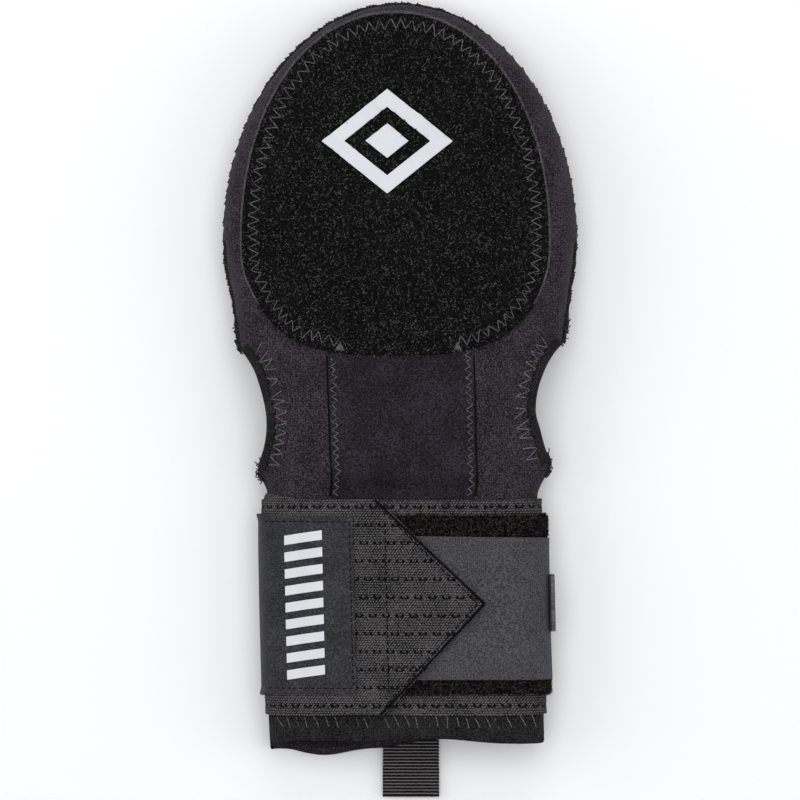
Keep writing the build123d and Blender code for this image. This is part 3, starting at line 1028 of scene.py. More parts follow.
@dataclass
class Shell:
    """The neoprene shell of the hand and cuff, and the shape that all the hand's pieces follow."""

    seam_z: float = edge_of("front_panel", 2, False)
    half_width: float = edge_of("front_panel", 0, True)
    tip_y: float = edge_of("front_panel", 1, True)
    front_rise: float = edge_of("front_panel", 2, True) - edge_of("front_panel", 2, False)
    rear_drop: float = edge_of("rear_panel", 2, True) - edge_of("rear_panel", 2, False)
    wrist_y: float = edge_of("front_panel", 1, False)
    wrist_half_width: float = edge_of("wrist_sleeve_front", 0, True)
    cuff_y: float = edge_of("cuff_front", 1, True)
    cuff_half_width: float = edge_of("cuff_front", 0, True)
    cuff_half_height: float = edge_of("cuff_front", 2, True) - edge_of("cuff_front", 2, False)
    front_mouth_y: float = edge_of("cuff_front", 1, False)
    rear_mouth_y: float = edge_of("cuff_rear", 1, False)
    knuckle_y: float = 57.0
    rise_end_y: float = 40.0
    wrist_rise: float = 13.0
    side_curve: float = 1.55
    front_power: float = 2.6
    rear_power: float = 5.0
    rear_tip_power: float = 4.0
    thumb_radius: float = 35.9
    thumb_y: float = -7.9
    thumb_inner_x: float = 47.0
    thickness: float = 3.0
    columns: int = 220
    cap_x: float = -1.7
    cap_y: float = 56.6
    cap_half_width: float = 54.9
    cap_upper: float = 81.2
    cap_lower: float = 41.0

    def size_at(self, y: float, face: Face) -> Spot:
        """The shell's section at a station.

        Args:
            y: the station.
            face: front or rear.

        Returns:
            Half its width, its height off the seam, and its superellipse power.
        """
        front = face is Face.FRONT
        power = self.front_power if front else self.rear_power
        if y > self.knuckle_y:
            along = min((y - self.knuckle_y) / (self.tip_y - self.knuckle_y), 1.0)
            tip_power = self.front_power if front else self.rear_tip_power
            height = (self.front_rise if front else self.rear_drop) * (1 - along**tip_power) ** (
                1 / tip_power
            )
            return self.half_width * math.sqrt(1 - along * along), height, power
        share = (self.knuckle_y - max(y, self.wrist_y)) / (self.knuckle_y - self.wrist_y)
        width = self.half_width - (self.half_width - self.wrist_half_width) * share**self.side_curve
        climb = ease((y - self.wrist_y) / (self.rise_end_y - self.wrist_y))
        height = mix(self.wrist_rise, self.front_rise, climb) if front else self.rear_drop
        cuffed = ease((self.wrist_y - y) / (self.wrist_y - self.cuff_y))
        return mix(width, self.cuff_half_width, cuffed), mix(height, self.cuff_half_height, cuffed), power

    def height(self, x: float, y: float, face: Face) -> float:
        """The shell's height off the seam over a place in plan, in millimetres.

        Args:
            x: millimetres along X.
            y: millimetres along Y.
            face: front or rear.

        Returns:
            The height, never negative.
        """
        width, rise, power = self.size_at(y, face)
        share = min(abs(x) / max(width, 1e-6), 1.0)
        curved = rise * (1 - share**power) ** (1 / power)
        cuffed = ease((self.wrist_y - y) / (self.wrist_y - self.cuff_y))
        round_x = max(abs(x) - (self.cuff_half_width - self.cuff_half_height), 0.0)
        tube = math.sqrt(max(self.cuff_half_height**2 - round_x**2, 0.0))
        return mix(curved, tube, cuffed)

    def notch(self, y: float) -> float:
        """Half the width that the thumb openings leave at a station."""
        span = self.thumb_radius**2 - (y - self.thumb_y) ** 2
        return self.thumb_inner_x + self.thumb_radius - math.sqrt(span) if span > 0 else math.inf

    def cap_share(self, x: float, y: float, face: Face) -> float:
        """How far out a place is on the cap patch: 0 at its middle and 1 on its outline.

        Args:
            x: millimetres along X.
            y: millimetres along Y.
            face: front or rear.

        Returns:
            The share, past 1 outside the patch.
        """
        upper = y > self.cap_y
        height, power = (self.cap_upper, 2.1) if upper else (self.cap_lower, 2.7)
        across = abs(x - self.cap_x * face.value) / self.cap_half_width
        return (across**power + (abs(y - self.cap_y) / height) ** power) ** (1 / power)

    def cap_line(self, face: Face, inset: float = 0.0, count: int = 240) -> list[Point]:
        """The cap patch's outline in plan, drawn in by an inset, anticlockwise from +X.

        Args:
            face: front or rear.
            inset: how far in, in millimetres.
            count: how many points.

        Returns:
            The outline's points.
        """
        line = []
        for i in range(count):
            turn = 2 * math.pi * i / count
            height, power = (self.cap_upper, 2.1) if math.sin(turn) > 0 else (self.cap_lower, 2.7)
            across = math.copysign(abs(math.cos(turn)) ** (2 / power), math.cos(turn))
            up = math.copysign(abs(math.sin(turn)) ** (2 / power), math.sin(turn))
            x = self.cap_x * face.value + (self.cap_half_width - inset) * across
            line.append((x, self.cap_y + (height - inset) * up))
        return line

    def swell(self, x: float, y: float, face: Face) -> float:
        """How far the shell stands off its plain shape: soft rolls between the seams, and small puckers.

        Args:
            x: millimetres along X.
            y: millimetres along Y.
            face: front or rear.

        Returns:
            The distance in millimetres.
        """
        if y < self.cuff_y:
            return 0.0
        free = ease((y - self.cuff_y) / 8)
        outside = self.cap_share(x, y, face) - 1
        width = max(self.size_at(y, face)[0], 1.0)
        side = ease((1 - abs(x) / width) / 0.07) if y < self.knuckle_y else 1.0
        roll = 0.9 * ease(outside / 0.1) * side if outside > 0 else 0.0
        turn = math.atan2(y - self.cap_y, x)
        near_cap = math.exp(-((outside / 0.06) ** 2))
        pucker = 0.16 * near_cap * math.sin(34 * turn + 2.5 * noise.noise(Vector((x, y, 0)) / 14))
        drift = 0.5 * noise.noise(Vector((x / 19, y / 27, 3.1 * face.value)))
        return free * (
            roll * (1 if face is Face.FRONT else 0.3) + pucker + drift * (1 if face is Face.FRONT else 0.2)
        )

    def mouth(self, x: float, face: Face) -> float:
        """Where the shell ends at the mouth, which is wavy.

        Args:
            x: millimetres along X.
            face: front or rear.

        Returns:
            The mouth's Y.
        """
        if face is Face.FRONT:
            return self.front_mouth_y + 2.0 - 1.5 * (x / 48) ** 2 + 0.5 * math.sin(x / 7.5)
        return self.rear_mouth_y + 1.2 - 2.6 * math.exp(-(((x + 27) / 11) ** 2)) + 3.0 * ease((x + 8) / 22)

    def stations(self, face: Face) -> list[float]:
        """The rows of the shell's mesh along Y, closer together where it curves.

        Args:
            face: front or rear.

        Returns:
            Each row's Y, from the mouth to the fingertips.
        """
        mouth = self.front_mouth_y if face is Face.FRONT else self.rear_mouth_y
        rows = list(np.linspace(mouth, self.cuff_y - 3, 34))
        rows += list(np.linspace(self.cuff_y, self.knuckle_y, 76))
        angles = np.linspace(0, math.pi / 2, 58)[1:]
        return rows + [self.knuckle_y + (self.tip_y - self.knuckle_y) * math.sin(angle) for angle in angles]

    def section(self, y: float, face: Face) -> np.ndarray:
        """The points of one row, evenly spaced along the cloth from one side to the other.

        Args:
            y: the row's station.
            face: front or rear.

        Returns:
            X and height off the seam, a row for each point.
        """
        width = self.size_at(y, face)[0]
        reach = min(width, self.notch(y))
        turn = np.linspace(-1, 1, 401)
        x = reach * np.sin(turn * math.pi / 2)
        z = np.array([self.height(value, y, face) for value in x])
        if reach >= width:
            z[0] = z[-1] = 0.0
        along = np.concatenate([[0], np.cumsum(np.hypot(np.diff(x), np.diff(z)))])
        at = np.linspace(0, along[-1], self.columns + 1)
        return np.stack([np.interp(at, along, x), np.interp(at, along, z)], axis=1)

    def half(self, face: Face) -> Piece:
        """Model one half of the shell, from the fingertips to the mouth.

        Args:
            face: front or rear.

        Returns:
            The closed, thickened half.
        """
        rows = self.stations(face)
        sections = [self.section(y, face) for y in rows]

        def place(u: float, v: float) -> Spot:
            """The shell's point in one column and row of its sections."""
            row, column = round(v * (len(rows) - 1)), round(u * self.columns)
            x, z = sections[row][column if face is Face.FRONT else self.columns - column]
            y = rows[row]
            if y < self.cuff_y:
                share = (self.cuff_y - y) / (self.cuff_y - rows[0])
                y = mix(self.cuff_y, self.mouth(x, face), share)
            return x, y, self.seam_z + face.value * z

        span = (2 * self.half_width, self.tip_y - rows[0])
        piece = sheet_of(f"{face.word}_shell", self.columns, len(rows) - 1, place, span)
        clean(piece, 0.01)
        push(piece, lambda point: self.swell(point.x, point.y, face))
        thicken(piece, self.thickness)
        smooth(piece, 50)
        return piece

    def notch_line(
        self, side: int, start: float, end: float, inset: float = 0.0, count: int = 60
    ) -> list[Point]:
        """A thumb notch's edge in plan, from one station to another.

        Args:
            side: -1 for the left opening, 1 for the right.
            start: the first station.
            end: the last station.
            inset: how far in from the edge.
            count: how many points.

        Returns:
            The line's points.
        """
        centre = self.thumb_inner_x + self.thumb_radius
        radius = self.thumb_radius + inset
        low, high = (math.asin(max(-1, min(1, (y - self.thumb_y) / radius))) for y in (start, end))
        turns = np.linspace(low, high, count)
        return [
            (
                side * (centre - radius * math.cos(turn)), self.thumb_y + radius * math.sin(turn)
            ) for turn in turns
        ]

    def notch_ends(self) -> Point:
        """The stations where the thumb openings start and end on the shell's side.

        Returns:
            The lower station and the upper one.
        """
        rows = np.linspace(self.wrist_y - 6, self.knuckle_y, 800)
        inside = [y for y in rows if self.notch(y) < self.size_at(y, Face.FRONT)[0]]
        return max(inside[0], self.wrist_y + 0.5), inside[-1]


@dataclass
class HandPieces:
    """Everything that is sewn on the hand shell."""

    shell: Shell
    wardrobe: Wardrobe
    wrist: Crossing
    zigzag: Stitch = field(default_factory=lambda: Stitch(wander=0.42, lift=0.2, sink=0.3))
    bare_edge_y: float = 34.0
    emblem_x: float = -4.5
    emblem_y: float = 91.0
    emblem_half: Point = (23.0, 18.5)
    emblem_line: float = 5.0

    def shells(self) -> dict[Face, Piece]:
        """Model, dress and place both halves of the shell.

        Returns:
            The two halves by face.
        """
        halves = {}
        for face in Face:
            piece = self.shell.half(face)
            self.wardrobe.dress(piece, "nylon_jersey")
            self.wrist.hold(piece)
            word = face.word
            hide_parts(f"{word}_panel", f"wrist_sleeve_{word}", f"cuff_{word}")
            halves[face] = piece
            LOG.info("%s: %d faces", piece.name, len(piece.data.polygons))
        return halves

    def cap(self, face: Face) -> Piece:
        """Model a cap patch: a padded dome that is sewn down near its edge.

        Args:
            face: front or rear.

        Returns:
            The patch, with its cut edge in the second material slot.
        """
        shell = self.shell
        outline = shell.cap_line(face)
        centre = (shell.cap_x * face.value, shell.cap_y)
        dome = 1.3 if face is Face.FRONT else 0.0
        base = 1.4

        def place(u: float, v: float) -> Spot:
            """The patch's point a share of the way from its middle to its outline."""
            edge_x, edge_y = outline[round(u * len(outline)) % len(outline)]
            x, y = mix(centre[0], edge_x, v), mix(centre[1], edge_y, v)
            high = shell.height(x, y, face) + base + dome * (1 - v**4)
            high += 0.0 if face is Face.REAR else shell.swell(x, y, face)
            return x, y, shell.seam_z + face.value * min(high, shell.seam_z if face is Face.REAR else 99.0)

        piece = sheet_of(f"{face.word}_cap_pad", len(outline), 80, place, (300.0, 60.0))
        clean(piece, 0.05)
        face_to(piece, lambda point: Vector((0, 0, face.value)))

        def held(point: Vector) -> float:
            """How firmly the patch is sewn down at a point."""
            return ease((shell.cap_share(point.x, point.y, face) - 0.86) / 0.04)

        if face is Face.FRONT:
            inflate(piece, held, 1.6)
        push(piece, lambda point: self._groove(point, face))
        self.wardrobe.dress(piece, "brushed_pile", "cut_edge")
        for polygon in piece.data.polygons:
            middle = polygon.center / MM
            cut = shell.cap_share(middle.x, middle.y, face) > 0.986
            polygon.material_index = int(cut and (middle.y > self.bare_edge_y or face is Face.REAR))
        thicken(piece, 1.2, rim_slot=1)
        smooth(piece, 45)
        Body.HAND.hold(piece)
        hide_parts(f"{face.word}_pile_patch")
        LOG.info("%s: %d faces", piece.name, len(piece.data.polygons))
        return piece

    def _groove(self, point: Vector, face: Face) -> float:
        """How the zigzag pulls the patch down, with a pucker at each stitch.

        Args:
            point: a point in millimetres.
            face: front or rear.

        Returns:
            The move along the normal, in millimetres.
        """
        share = self.shell.cap_share(point.x, point.y, face)
        band = math.exp(-(((share - 0.915) / 0.035) ** 2))
        turn = math.atan2(point.y - self.shell.cap_y, point.x)
        pucker = 0.12 * math.sin(60 * turn) * math.exp(-(((share - 0.95) / 0.05) ** 2))
        return (-0.45 * band + pucker) * (1.0 if face is Face.FRONT else 0.3)

    def in_emblem(self, x: float, y: float, margin: float = 0.0) -> bool:
        """Whether a place in plan is under the emblem's film.

        Args:
            x: millimetres along X.
            y: millimetres along Y.
            margin: how much wider the film is taken.

        Returns:
            True on the ring or the middle diamond.
        """
        half_x, half_y = self.emblem_half
        slope = half_y / half_x
        size = abs(x - self.emblem_x) + abs(y - self.emblem_y) / slope
        line = self.emblem_line * math.sqrt(1 + 1 / slope**2)
        inner = half_x - line
        return (inner - margin < size < half_x + margin) or size < inner / 2 + margin

    def fibres(self, face: Face, pad: Piece) -> None:
        """Grow the brushed pile on a cap patch, bare under the emblem and pressed down by the stitches.

        Args:
            face: front or rear.
            pad: the cap patch.
        """
        front = face is Face.FRONT

        def keep(x: float, y: float, z: float) -> float:
            """How long the fibres stand at a point, 0 where none do."""
            share = self.shell.cap_share(x, y, face)
            edge = 0.985 if y > self.bare_edge_y or not front else 1.0
            if share > edge or (z - self.shell.seam_z) * face.value < 0:
                return 0.0
            if front and self.in_emblem(x, y, 0.5):
                return 0.0
            pressed = 0.8 if 0.885 < share < 0.955 else 1.0
            return pressed * (1.0 if front else 0.35)

        pile = Pile(count=52000 if front else 30000, length=1.1, width=0.26, lean=0.9 if front else 1.8)
        piece = pile.grow(f"{face.word}_cap_fibres", pad, keep)
        self.wardrobe.dress(piece, "brushed_pile")
        Body.HAND.hold(piece)

    def cap_stitching(self, face: Face, pad: Piece) -> None:
        """Sew the zigzag round a cap patch, open at the bottom where the plate slides in.

        Args:
            face: front or rear.
            pad: the cap patch.
        """
        skin = Skin(pad, face)
        line = [(x, y - 1.2 * ease((34 - y) / 14)) for x, y in self.shell.cap_line(face, 2.8, 720)]
        if face is Face.FRONT:
            gap = [i for i, (x, y) in enumerate(line) if y < 30 and -21.5 < x < 20.5]
            line = line[gap[-1] :] + line[: gap[0]]
        runs = self.zigzag.zigzag(skin, line, inward=1.0, closed=face is Face.REAR)
        name = f"{face.word}_cap_stitching"
        self.wardrobe.sew(name, runs, self.zigzag.diameter, "bulked_thread", Body.HAND)
        if face is Face.FRONT:
            self._bartacks(skin)

    def _bartacks(self, skin: Skin) -> None:
        """Sew the dense bars at both ends of the plate's opening.

        Args:
            skin: the front patch's surface.
        """
        dice = random.Random(8)
        runs = []
        for x, slope in ((-21.4, 0.5), (20.6, -0.5)):
            for i in range(11):
                spread = (i - 5) / 5
                low, high = 17.3 + dice.uniform(-0.3, 0.4), 20.6 - 1.3 * abs(spread) + dice.uniform(-0.4, 0.4)
                foot, top = x + 1.5 * spread + dice.uniform(-0.1, 0.1), x + 0.5 * spread + slope
                spots = ((0.0, -0.4), (0.08, 0.3), (0.5, 0.45), (0.92, 0.3), (1.0, -0.4))
                runs.append([skin.at(mix(foot, top, t), mix(low, high, t), lift) for t, lift in spots])
        piece = self.wardrobe.sew("pocket_bartack_threads", runs, 0.3, "bulked_thread", Body.HAND)
        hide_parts("pocket_bartacks")

    def emblem(self, pad: Piece) -> None:
        """Lay the printed diamonds on the front cap.

        Args:
            pad: the front cap patch.
        """
        skin = Skin(pad, Face.FRONT)
        half_x, half_y = self.emblem_half
        line = self.emblem_line * math.sqrt(1 + (half_x / half_y) ** 2)
        inner = 1 - line / half_x
        for name, low, high in (("ring", inner, 1.0), ("middle", 0.0, inner / 2)):

            def place(u: float, v: float, low: float = low, high: float = high) -> Vector:
                """The film's point a share of the way round its diamond, and in from its outer line."""
                side, along = divmod(u * 4, 1.0)
                corners = [(1, 0), (0, 1), (-1, 0), (0, -1), (1, 0), (0, 1)]
                (x0, y0), (x1, y1) = corners[int(side)], corners[int(side) + 1]
                size = mix(high, low, v)
                x = self.emblem_x + half_x * size * mix(x0, x1, along)
                y = self.emblem_y + half_y * size * mix(y0, y1, along)
                return skin.at(x, y, 0.75)

            piece = sheet_of(f"emblem_{name}", 96, 6, place, (90.0, 6.0))
            clean(piece, 0.02)
            face_to(piece, lambda point: Vector((0, 0, 1)))
            thicken(piece, 0.5)
            modify(
                piece,
                "BEVEL",
                width=0.12 * MM,
                segments=2,
                limit_method="ANGLE",
                angle_limit=math.radians(50),
            )
            smooth(piece, 40)
            self.wardrobe.dress(piece, "transfer_film")
            Body.HAND.hold(piece)
        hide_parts("emblem")

    def channel(self, half: Piece) -> None:
        """Lay the smooth cloth over the plate's tongue, and sew both its edges down to the wrist.

        Args:
            half: the shell's front half.
        """
        skin = Skin(half, Face.FRONT)
        top, low = 21.0, self.shell.cuff_y - 1.0
        left, right = ((-25.7, -23.6), (25.6, 27.2))

        def place(u: float, v: float) -> Vector:
            """The cloth's point, level with the shell at the wrist and proud of it above."""
            y = mix(low, top, v)
            share = (top - y) / (top - low)
            x = mix(mix(left[0], left[1], share), mix(right[0], right[1], share), u)
            edge = min(u, 1 - u)
            lift = 0.35 + 0.55 * ease(edge / 0.12) + 0.25 * noise.noise(Vector((x / 9, y / 12, 5.0)))
            return skin.at(x, y, mix(0.02, lift, ease((y - self.shell.cuff_y) / 14)))

        piece = sheet_of("channel_cloth", 60, 64, place, (52.0, top - low))
        thicken(piece, 0.8)
        smooth(piece, 50)
        self.wardrobe.dress(piece, "laminated_cloth")
        self.wrist.hold(piece)
        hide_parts("channel_panel", "channel_flex")
        stitch = Stitch(pitch=2.8, reach=2.1, diameter=0.3, sink=0.2, seed=5)
        cloth = Skin(piece, Face.FRONT)
        runs = []
        for (x_top, x_low), inward in ((left, 1.0), (right, -1.0)):
            start = 14.8 if inward > 0 else 17.6
            inset = 0.7 * inward
            line = []
            for y in np.linspace(start, self.shell.cuff_y + 1.2, 30):
                line.append((mix(x_top, x_low, (top - y) / (top - low)) + inset, y))
            runs += stitch.zigzag(cloth, line, inward=inward)
        self.wardrobe.sew("channel_stitching", runs, stitch.diameter, "bulked_thread", self.wrist)
        # A black cord along each edge of the channel cloth: painted shadow in the groove beside it.
        groove_shadow_runs = []
        for x_top, x_low, side in ((*left, -1), (*right, 1)):
            ys = np.linspace(15.5, self.shell.cuff_y + 1.0, 60)
            groove_shadow_runs.append(
                [skin.at(mix(x_top, x_low, (top - y) / (top - low)) + 0.25 * side, y, 0.12) for y in ys]
            )
        self.wardrobe.sew("channel_edge_cords", groove_shadow_runs, 0.8, "black_thread", self.wrist)

    def side_seam(self) -> None:
        """Overlock the two halves together round the hand."""
        shell = self.shell
        end = shell.notch_ends()[1]
        low = math.asin(
            (end - shell.knuckle_y) / (shell.tip_y - shell.knuckle_y)
        ) if end > shell.knuckle_y else 0.0
        line = [(shell.size_at(y, Face.FRONT)[0], y) for y in np.linspace(end, shell.knuckle_y, 30)]
        reach = shell.tip_y - shell.knuckle_y
        turns = np.linspace(low, math.pi - low, 160)
        line += [(shell.half_width * math.cos(t), shell.knuckle_y + reach * math.sin(t)) for t in turns]
        line += [(-x, y) for x, y in reversed(line[:30])]
        dice = random.Random(4)
        cord, loops = [], []
        for (x, y), (along, up) in evenly(line, 1.1):
            sway = dice.uniform(-0.22, 0.22)
            cord.append(Vector((x + up * (0.1 + sway), y - along * (0.1 + sway), shell.seam_z + sway)))
            out = Vector((up, -along, 0))
            run = Vector((along, up, 0))
            foot = Vector((x, y, shell.seam_z))
            far = 1.0 + 2 * sway
            spots = (
                (-0.5, 2.1, 0.0), (0.5, 1.2, 0.15), (far, 0.0, 0.5), (0.5, -1.2, 0.85), (-0.5, -2.1, 1.0)
            )
            loops.append([foot + out * o + Vector((0, 0, z)) + run * r * 1.1 for o, z, r in spots])
        ridge = self.wardrobe.sew("side_seam_ridge", [cord], 2.0, "stretch_binding", Body.HAND)
        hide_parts("side_seam")
        self.wardrobe.sew("side_seam_overlock", loops, 0.5, "dark_thread", Body.HAND)

    def thumb_edges(self, halves: dict[Face, Piece]) -> None:
        """Roll a binding over each notch edge and overlock it.

        Args:
            halves: the shell's halves by face.
        """
        shell = self.shell
        low, high = shell.notch_ends()
        stitch = Stitch(pitch=3.5, reach=4.3, diameter=0.38, lift=0.2, wander=0.5, sink=0.2, seed=6)
        dent = Stitch(diameter=0.85, pitch=3.5, lift=-0.05)
        dice = random.Random(31)
        for face, piece in halves.items():
            skin = Skin(piece, face)
            for side, word in ((-1, "left"), (1, "right")):
                edge = shell.notch_line(side, low + 0.4, high - 0.4, 0.15, 90)
                width, thick = 2.6, shell.thickness + 1.0

                def place(
                    u: float, v: float, edge: list = edge, side: int = side, face: Face = face
                ) -> Vector:
                    """The binding's point, round the edge by u and along it by v."""
                    i = round(v * (len(edge) - 1))
                    x, y = edge[i]
                    lump = 0.16 * noise.noise(Vector((x * 0.4, y * 0.4, 9.0 * side)))
                    out = Vector(
                        (x - side * (shell.thumb_inner_x + shell.thumb_radius), y - shell.thumb_y, 0)
                    ).normalized()
                    turn = math.pi * (0.5 - u)
                    spot = Vector((x, y, 0)) + out * (width * (1 - math.cos(turn)) - 0.6)
                    top = skin.at(spot.x + out.x * 0.9, spot.y + out.y * 0.9)
                    middle = top.z - face.value * (shell.thickness / 2)
                    spot.z = middle + face.value * math.sin(turn) * (thick / 2 + lump)
                    return spot

                roll = sheet_of(f"thumb_roll_{word}_{face.word}", 14, len(edge) - 1, place, (8.0, 60.0))
                clean(roll, 0.01)
                hub = Vector((side * (shell.thumb_inner_x + shell.thumb_radius), shell.thumb_y, 0))
                face_to(roll, lambda point: Vector((hub.x - point.x, hub.y - point.y, 0)))
                thicken(roll, 0.5)
                smooth(roll, 60)
                self.wardrobe.dress(roll, "stretch_binding")
                Body.HAND.hold(roll)
                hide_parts(f"thumb_binding_{word}_{face.word}")
                line = shell.notch_line(side, low + 1.5, high - 1.0, 2.5)
                runs = stitch.zigzag(skin, line, inward=float(side))
                # Most stitches get the painted highlight, the rest stay dark.
                lit = [dice.random() < 0.85 for _ in runs]
                place_name = f"{word}_{face.word}"
                self.wardrobe.sew_mixed(f"thumb_overlock_{place_name}", runs, stitch.diameter, lit, Body.HAND)
                # Short black strokes in the needle holes: painted shade in the dents.
                name, dent_shadow_runs = f"thumb_needle_dents_{place_name}", dent.running(skin, line, 0.26)
                self.wardrobe.sew(name, dent_shadow_runs, dent.diameter, "black_thread", Body.HAND)

    def frays(self) -> None:
        """Tangle short ends of overlock thread at the corners of the thumb openings."""
        shell = self.shell
        low, high = shell.notch_ends()
        dice = random.Random(21)
        runs = []
        for side in (-1, 1):
            for y, spread, count in ((high + 5.0, 6.5, 300), (low - 0.5, 3.4, 110)):
                for _ in range(count):
                    at = y + dice.uniform(-spread, spread)
                    width = min(shell.size_at(at, Face.FRONT)[0], shell.notch(at))
                    points = [
                        Vector(
                            (side * (width + dice.uniform(-2.2, 0.3)), at, shell.seam_z + dice.uniform(-3, 5))
                        )
                    ]
                    for _ in range(5):
                        step = Vector(
                            (
                                side * dice.uniform(-0.45, 0.55),
                                dice.uniform(-0.7, 0.7),
                                dice.uniform(-0.7, 0.7),
                            )
                        )
                        points.append(points[-1] + step)
                    runs.append(points)
        self.wardrobe.sew("thumb_corner_frays", runs, 0.42, "dark_thread", Body.HAND)


# ----------------------------------------------------------------- wrist cuff


class Route:
    """A line round the cuff in the XZ plane that a band's outer face follows."""

    def __init__(self, points: Sequence[Point]) -> None:
        """Measure a line.

        Args:
            points: the line's X and Z, in millimetres.
        """
        self.points = np.array(points, float)
        steps = np.hypot(*np.diff(self.points, axis=0).T)
        self.along = np.concatenate([[0], np.cumsum(steps)])
        self.length = float(self.along[-1])

    def at(self, distance: float, lift: float = 0.0) -> Point:
        """The point some way along the line, lifted off it outwards.

        Args:
            distance: how far along, in millimetres.
            lift: how far off the line.

        Returns:
            The point's X and Z.
        """
        x, z = (float(np.interp(distance, self.along, self.points[:, k])) for k in (0, 1))
        ahead, behind = min(distance + 0.6, self.length), max(distance - 0.6, 0.0)
        (x1, z1), (x0, z0) = (
            [float(np.interp(d, self.along, self.points[:, k])) for k in (0, 1)] for d in (ahead, behind)
        )
        run = math.hypot(x1 - x0, z1 - z0) or 1.0
        return x - (z1 - z0) / run * lift, z + (x1 - x0) / run * lift

    def distance_at(self, x: float) -> float:
        """How far along the line its front stretch reaches an X."""
        front = self.points[:, 1] > self.points[:, 1].max() - 8
        return float(np.interp(x, self.points[front, 0], self.along[front]))


@dataclass
class Winding:
    """The radii and levels of the layers wound round the cuff."""

    shell: Shell
    elastic: float = 1.6
    loop: float = 1.6
    hook: float = 1.2
    label: float = 1.0
    gap: float = 0.1
    free_gap: float = 0.3

    @property
    def round_x(self) -> float:
        """Where the cuff's rounded sides are centred."""
        return self.shell.cuff_half_width - self.shell.cuff_half_height

    @property
    def base(self) -> float:
        """Outer radius of the sewn turn."""
        return self.shell.cuff_half_height + self.gap + self.elastic

    @property
    def loop_out(self) -> float:
        """Outer radius of the loop tape."""
        return self.base + self.gap + self.loop

    @property
    def hook_out(self) -> float:
        """Outer radius of the hook tape."""
        return self.loop_out + self.free_gap + self.hook

    def arc(self, centre: float, radius: float, start: float, end: float) -> list[Point]:
        """Points of a round stretch, from one angle to another in degrees."""
        turns = np.radians(np.linspace(start, end, 28))
        return [(centre + radius * math.cos(t), self.shell.seam_z + radius * math.sin(t)) for t in turns]


